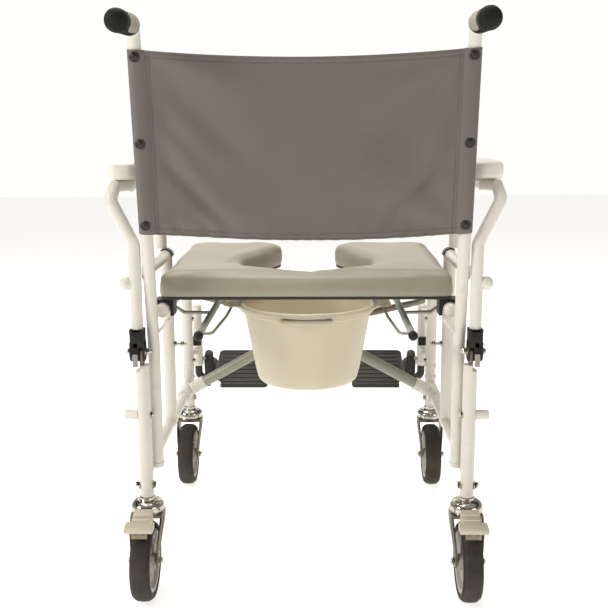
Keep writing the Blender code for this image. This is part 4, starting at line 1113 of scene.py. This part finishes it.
def fork(side, prefix, top, forward):
    """The pressed fork: crown, race ring, folded bridge and two shaped arms."""
    body = f"{prefix}_swivel"
    inner_x = TYRE_HALF + 0.0025
    crown = [(0, 0.1318), (0.0190, 0.1318), (0.0236, 0.1330), (0.0250, 0.1345), (0.0246, FORK_TOP),
             (0, FORK_TOP)]
    shapes = [turned(crown, top, Z_AXIS, 44)]
    rear_edge = TRAIL - 0.0205
    outline = arc((TRAIL + 0.0155, 0.1295), 0.0055, 10, 90, 4)
    outline += arc((rear_edge + 0.004, 0.1310), 0.0040, 90, 180, 4)
    outline += [(rear_edge - 0.005, 0.123), (-0.0035, 0.112), (-0.0095, 0.095), (-0.0110, 0.078)]
    outline += arc((0, WHEEL_R), 0.0110, 180, 350, 12)
    outline += [(0.0160, 0.078), (0.0265, 0.092), (TRAIL + 0.0120, 0.108), (TRAIL + 0.0195, 0.120)]
    outline = [(forward - TRAIL + y, z) for y, z in outline]
    for hand in (1, -1):
        arm_plate = side_plate(outline, (LEG_X + inner_x * hand) * side, FORK_PLATE * hand * side, 0.0007)
        for vert in arm_plate.verts:
            vert.co.x += FORK_FLARE * min(1.0, max(0.0, (vert.co.z - 0.072) / 0.05)) * hand * side
        # pressed stiffening rib down the outside of the arm
        rib = ((TRAIL - 0.002, 0.126, FORK_FLARE), (0.016, 0.100, 0.0022), (0.002, 0.080, 0.0006))
        rib = [at((LEG_X + (inner_x + FORK_PLATE + flare) * hand) * side, forward - TRAIL + y, z)
               for y, z, flare in rib]
        shapes += [arm_plate, tube(rounded_path(rib, 0.03, 5), 0.0010, 10, 0.0004)]
    half = inner_x + FORK_PLATE + FORK_FLARE
    shapes.append(block(Vector((top.x - half, top.y + 0.0205, 0.1285)),
                        Vector((top.x + half, top.y - 0.0205, 0.1348)), 0.0026))
    piece(f"{prefix}_fork", shapes, "steel", body, f"{prefix}_caster_fork")
    low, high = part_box(f"{prefix}_axle_bolt")
    centre = (low + high) / 2
    reach = (high.x - low.x) / 2 - 0.0055
    bolt = [rod(0.004, -reach, reach, centre, X_AXIS, 20)]
    for hand in (1, -1):
        bolt += hex_nut(centre + X_AXIS * (reach - 0.0008) * hand, X_AXIS * hand, 0.0064, 0.0078)
    piece(f"{prefix}_axle", bolt, "chrome", body, f"{prefix}_axle_bolt")


def mirrored(profile):
    """A (radius, height) profile, closed by its own mirror image across height 0."""
    return profile + [(radius, -height) for radius, height in reversed(profile)]


def wheel(prefix, axle):
    """A tyre with shoulder grooves, and a hub with concentric rings and webbed spokes."""
    body = f"{prefix}_wheel"
    half = TYRE_HALF
    tyre = [(0.0500, -half + 0.0035), (0.0512, -half + 0.0008), (0.0528, -half), (0.0545, -half + 0.0007),
            (0.0558, -half + 0.0012), (0.0585, -half + 0.0010)]
    tyre += arc((WHEEL_R - 0.0092, -half + 0.0098), 0.0088, -68, 0, 9) + [(WHEEL_R, -0.0030)]
    piece(f"{prefix}_tyre_tread", [turned(mirrored(tyre), axle, X_AXIS, 112, closed=True)], "tyre", body,
          f"{prefix}_tyre", angle=60)
    face = [(0.0046, -0.0160), (0.0105, -0.0160), (0.0120, -0.0152), (0.0128, -0.0100), (0.0150, -0.0086),
            (0.0270, -0.0080), (0.0278, -0.0092), (0.0296, -0.0092), (0.0304, -0.0080), (0.0400, -0.0076),
            (0.0420, -0.0090), (0.0436, -0.0134), (0.0450, -0.0142), (0.0494, -0.0142), (0.0503, -0.0134)]
    shapes = [turned(mirrored(face), axle, X_AXIS, 80, closed=True)]
    for hand in (1, -1):
        for step in range(10):
            angle = math.radians(step * 36 + 9)
            along = Vector((0, math.cos(angle), math.sin(angle)))
            spoke = [axle + along * reach + X_AXIS * 0.0086 * hand for reach in (0.0130, 0.0425)]
            shapes.append(tube(spoke, 0.0013, 8, 0.0004))
    piece(f"{prefix}_hub_disc", shapes, "hub", body, f"{prefix}_hub", angle=30)


def brake(side, top):
    """The wheel-lock pedal: stepped moulded pedal, riveted steel shoe and hinge cheeks."""
    name = side_name(side)
    body = f"{name}_brake"
    x = top.x
    half = 0.0145

    def bar(reach, front, low, rear, high, chamfer):
        return block(at(x - reach, front, low), at(x + reach, rear, high), chamfer)

    deck = [(-0.0282, 0.1420), (-0.0292, 0.1492), (-0.0335, 0.1515), (-0.0470, 0.1492), (-0.0480, 0.1478),
            (-0.0600, 0.1464), (-0.0610, 0.1450), (-0.0790, 0.1432), (-0.0850, 0.1425), (-0.0878, 0.1406),
            (-0.0872, 0.1340), (-0.0800, 0.1326), (-0.0560, 0.1312), (-0.0300, 0.1318)]
    lip = [(-0.0640, 0.1446), (-0.0790, 0.1431), (-0.0850, 0.1424), (-0.0876, 0.1404), (-0.0870, 0.1338),
           (-0.0820, 0.1322), (-0.0640, 0.1322)]
    shapes = [side_plate(deck, x - half, half * 2, 0.0009), side_plate(lip, x - 0.0222, 0.0444, 0.0016)]
    for step in range(4):
        forward = -0.0505 - step * 0.0026
        shapes.append(bar(0.0120, forward, 0.1460, forward - 0.0012, 0.1484, 0.0004))
    for step in range(5):
        forward = -0.0655 - step * 0.0036
        shapes.append(bar(0.0200, forward, 0.1420, forward - 0.0014, 0.1444 - step * 0.0003, 0.0004))
    piece(f"{name}_brake_lever", shapes, "pedal", body, f"{name}_brake_pedal")
    shoe = [bar(0.0125, -0.0420, 0.1288, -0.0772, 0.1312, 0.0006),
            bar(0.0125, -0.0760, 0.1208, -0.0780, 0.1336, 0.0008)]
    rivet = [(0, 0), (0.0032, 0.0003), (0.0024, 0.0013), (0, 0.0018)]
    shoe += [turned(rivet, at(x + hand * 0.0068, -0.0779, 0.1262), Y_AXIS, 18) for hand in (-1, 1)]
    hinge = [at(x + hand * (half + 0.0030), -0.030, 0.1410) for hand in (-1, 1)]
    shoe.append(tube(hinge, 0.0026, 18))
    piece(f"{name}_brake_shoe", shoe, "steel", body)


# ---------------------------------------------------------------- footrests
def footrest(side):
    """A swing-away footrest: hanger tube and hooks, latch, leg extension and ribbed plate."""
    name = side_name(side)
    body = f"{name}_hanger"
    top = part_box(f"{name}_footrest_hanger")[1].z
    x = HANGER_X * side
    pivot = Vector((FOOT_PIVOT.x * side, FOOT_PIVOT.y, 0))
    shapes = [tube([at(x, HANGER_FORWARD, 0.233), at(x, HANGER_FORWARD, top)], 0.0095, dome=0.003),
              turned([(0.0095, -0.004), (0.0108, -0.003), (0.0108, 0.003), (0.0095, 0.004)],
                     at(x, HANGER_FORWARD, 0.240), Z_AXIS, closed=True)]
    hook = [(0, 0.0053), (0.0070, 0.0053), (0.0077, 0.0062), (0.0077, 0.0125), (0.0068, 0.0133), (0, 0.0133)]
    for z in BRACKET_Z:
        shapes.append(turned(hook, pivot + Z_AXIS * z, Z_AXIS, 28))
        shapes.append(block(at((HANGER_X - 0.004) * side, FOOT_FORWARD + 0.002, z + 0.0060),
                            at((HANGER_X + 0.012) * side, HANGER_FORWARD, z + 0.0125), 0.0012))
    piece(f"{name}_hanger_tube", shapes, "white", body, f"{name}_footrest_hanger")
    pin = [(0, -0.0045), (0.0030, -0.0045), (0.0038, -0.0036), (0.0038, 0.0060), (0, 0.0060)]
    pins = [turned(pin, pivot + Z_AXIS * z, Z_AXIS, 20) for z in BRACKET_Z]
    pins += hex_nut(at(x - 0.0088 * side, HANGER_FORWARD, 0.250), X_AXIS * -side, 0.0048, 0.0070)
    piece(f"{name}_hanger_pins", pins, "chrome", body)

    latch = [(-0.0250, -0.0050), (-0.0060, -0.0070), (0.0060, -0.0080), (0.0090, -0.0010),
             (0.0060, 0.0070), (-0.0060, 0.0080), (-0.0250, 0.0040)]
    shapes = [slab([(FOOT_PIVOT.x + px, FOOT_FORWARD + py) for px, py in latch], 0.2880, 0.018, 0.0020, side)]
    for step in range(4):
        px = FOOT_PIVOT.x - 0.0235 + step * 0.0035
        shapes.append(block(at(px * side, FOOT_FORWARD - 0.0060, 0.2900),
                            at((px + 0.0014) * side, FOOT_FORWARD + 0.005, 0.3064), 0.0004))
    shapes.append(tube([pivot + Z_AXIS * 0.2762, pivot + Z_AXIS * 0.3460], 0.0040, 24, 0.0008))
    piece(f"{name}_latch_lever", shapes, "black", f"{name}_latch", f"{name}_hanger_latch")
    footplate(side, body)


def plate_point(side, x, along, out):
    """A point of the footplate: across the chair, along the tilted plate, and out of its surface."""
    return at(x * side, 0.553, 0.1815) + PLATE_RUN * along + PLATE_UP * out


def plate_outline(inset):
    """The plate's outline with its notch beside the leg, as (x, along) points drawn in by an inset."""
    low, high, end = 0.0935 + inset, 0.2150 - inset, 0.158 - inset
    notch = 0.2000 - inset
    outline = arc((low + 0.009, inset + 0.009), 0.009, 180, 270, 6)
    outline += arc((notch - 0.004, inset + 0.004), 0.004, -90, 0, 4)
    outline += [(notch, 0.0220 + inset), (notch + 0.008, 0.0300 + inset), (high, 0.0300 + inset)]
    outline += arc((high - 0.009, end - 0.009), 0.009, 0, 90, 6)
    return outline + arc((low + 0.009, end - 0.009), 0.009, 90, 180, 6)


def footplate(side, hanger_body):
    """The leg extension and its hinge pin, and the ribbed flip-up plate with its bracket."""
    name = side_name(side)
    hub = Vector((HUB_PIVOT.x * side, HUB_PIVOT.y, HUB_PIVOT.z))
    axis = PLATE_RUN
    x = HANGER_X * side
    leg = [at(x, HANGER_FORWARD, 0.289), at(x, HANGER_FORWARD, 0.215), hub - axis * 0.012]
    leg = rounded_path(leg, 0.012, 8)
    shapes = [tube(leg, 0.0081, 24), tube([hub - axis * 0.022, hub + axis * 0.070], 0.0055, 20)]
    piece(f"{name}_leg_extension", shapes, "plate", hanger_body, f"{name}_footrest_extension")

    def points(outline, out):
        return [plate_point(side, px, along, out) for px, along in outline]

    inner = plate_outline(0.0035)
    shapes = [prism(points(plate_outline(0.0005), 0), PLATE_UP * 0.0068, 0.0014),
              tube(points(inner + inner[:2], 0.0074), 0.0014, 10, 0.0002)]
    for rib in range(8):
        along = 0.016 + rib * 0.0180
        far = 0.1930 if along < 0.034 else 0.2060
        shapes.append(tube(points([(0.1030, along), (far, along)], 0.0068), 0.0020, 12, 0.0012))
        lower = along + 0.004
        shapes.append(tube(points([(0.1010, lower), (far, lower)], 0.0008), 0.0018, 10, 0.0008))
    barrel = [(0.0056, 0), (0.0095, 0), (0.0105, 0.0015), (0.0105, 0.030), (0.0099, 0.0308), (0.0099, 0.0345),
              (0.0105, 0.0353), (0.0105, 0.083), (0.0095, 0.0845), (0, 0.0845), (0, 0.079), (0.0056, 0.079)]
    shapes.append(turned(barrel, hub - axis * 0.001, axis, 32, closed=True))
    web = points([(0.208, 0.036), (0.226, 0.036), (0.226, 0.108), (0.208, 0.108)], 0.0005)
    shapes.append(prism(web, PLATE_UP * 0.008, 0.0012))
    lug = [(0.2175, 0.0), (0.2365, 0.0)] + arc((0.2270, 0.056), 0.0095, 0, 180, 14)
    shapes.append(prism([plate_point(side, px, 0.0335, out) for px, out in lug], axis * 0.026, 0.0022))
    groove = [plate_point(side, 0.2270, 0.0335, out) for out in (0.012, 0.056)]
    shapes.append(tube(groove, 0.0030, 12, 0.0015))
    piece(f"{name}_ribbed_footplate", shapes, "plate", f"{name}_foot", f"{name}_footplate", angle=45)


# ---------------------------------------------------------------- studio
def studio():
    """A pale floor and soft light. The world is white to the camera, and has a dark band for
    reflections and shading."""
    floor_mesh = bpy.data.meshes.new("floor")
    bm = bmesh.new()
    size = 9
    bm.faces.new([bm.verts.new((x * size, y * size, 0)) for x, y in ((-1, -1), (1, -1), (1, 1), (-1, 1))])
    bm.to_mesh(floor_mesh)
    bm.free()
    glow = {"Emission Color": (1.0, 0.99, 0.975, 1.0), "Emission Strength": 0.74}
    pale = Surface("pale_floor", (0.64, 0.635, 0.62), 0.8, 0.0, glow)
    pale.bump(pale.noise(40, 2), 0.0005, 0.1)
    floor_mesh.materials.append(pale.material)
    floor = bpy.data.objects.new("floor", floor_mesh)
    bpy.context.scene.collection.objects.link(floor)

    lights = (("key", (2.5, 1.5, 1.9), 0.9, 50.0), ("fill", (-2.3, 2.0, 1.3), 1.4, 14.0),
              ("top", (0.3, -0.5, 3.0), 1.8, 60.0), ("front", (0.2, -2.8, 1.5), 2.2, 18.0))
    for name, place, size, power in lights:
        lamp = bpy.data.lights.new(name, "AREA")
        lamp.size = size
        lamp.energy = power
        lamp.color = (1.0, 0.985, 0.955)
        item = bpy.data.objects.new(name, lamp)
        item.location = place
        item.rotation_euler = (Vector((0, 0, 0.5)) - Vector(place)).to_track_quat("-Z", "Y").to_euler()
        bpy.context.scene.collection.objects.link(item)

    bpy.context.scene.view_settings.view_transform = "Standard"
    world = bpy.data.worlds.new("studio")
    bpy.context.scene.world = world
    world.use_nodes = True
    tree = world.node_tree
    background = tree.nodes["Background"]
    background.inputs["Strength"].default_value = 0.40
    direction = add_node(tree, "TexCoord", "Generated")
    upward = add_node(tree, "SeparateXYZ", "Z", {"Vector": direction})
    bands = add_node(tree, "ValToRGB", "Color", {"Fac": upward})
    ramp = bands.node.color_ramp
    ends = ((0.0, (0.92, 0.90, 0.87, 1)), (1.0, (1.0, 0.99, 0.97, 1)))
    for element, (position, colour) in zip(ramp.elements, ends):
        element.position = position
        element.color = colour
    for position, colour in ((0.42, (0.92, 0.90, 0.87, 1)), (0.48, (0.14, 0.13, 0.115, 1)),
                             (0.70, (0.18, 0.17, 0.15, 1)), (0.78, (1.0, 0.98, 0.95, 1))):
        ramp.elements.new(position).color = colour
    tree.links.new(bands, background.inputs["Color"])
    clear = add_node(tree, "Background", "Background", {"Color": (1.0, 0.995, 0.98, 1), "Strength": 1.0})
    seen = add_node(tree, "LightPath", "Is Camera Ray")
    shown = {"Fac": seen, 1: background.outputs["Background"], 2: clear}
    mix = add_node(tree, "MixShader", "Shader", shown)
    tree.links.new(mix, tree.nodes["World Output"].inputs["Surface"])


def camera():
    """The camera behind the chair, a little above the seat, looking slightly down."""
    yaw, pitch, roll = math.radians(0.96), math.radians(10.83), math.radians(-0.27)
    ahead = Vector((-math.sin(yaw) * math.cos(pitch), math.cos(yaw) * math.cos(pitch), -math.sin(pitch)))
    right = Vector((math.cos(yaw), math.sin(yaw), 0))
    up = right.cross(ahead)
    right, up = right * math.cos(roll) + up * math.sin(roll), up * math.cos(roll) - right * math.sin(roll)
    turn = Matrix([Vector((-v.x, -v.y, v.z)) for v in (right, up, -ahead)]).transposed()
    lens = bpy.data.cameras.new("photo_camera")
    lens.lens = 53.29
    lens.sensor_width = 36.0
    item = bpy.data.objects.new("photo_camera", lens)
    item.matrix_world = Matrix.Translation(at(-0.0205, -1.377, 0.741)) @ turn.to_4x4()
    bpy.context.scene.collection.objects.link(item)
    bpy.context.scene.camera = item


# ---------------------------------------------------------------- assembly
camera()
for hand_side in (1, -1):
    side_frame(hand_side)
    seat_rail(hand_side)
    grip(hand_side)
    arm(hand_side)
    pan_rail(hand_side)
    footrest(hand_side)
    stay(hand_side)
    caster(hand_side, "rear")
    caster(hand_side, "front")
brace(1, 1, "front")
brace(-1, -1, "rear")
brace_pivot()
back_sling()
seat()
pan()
studio()
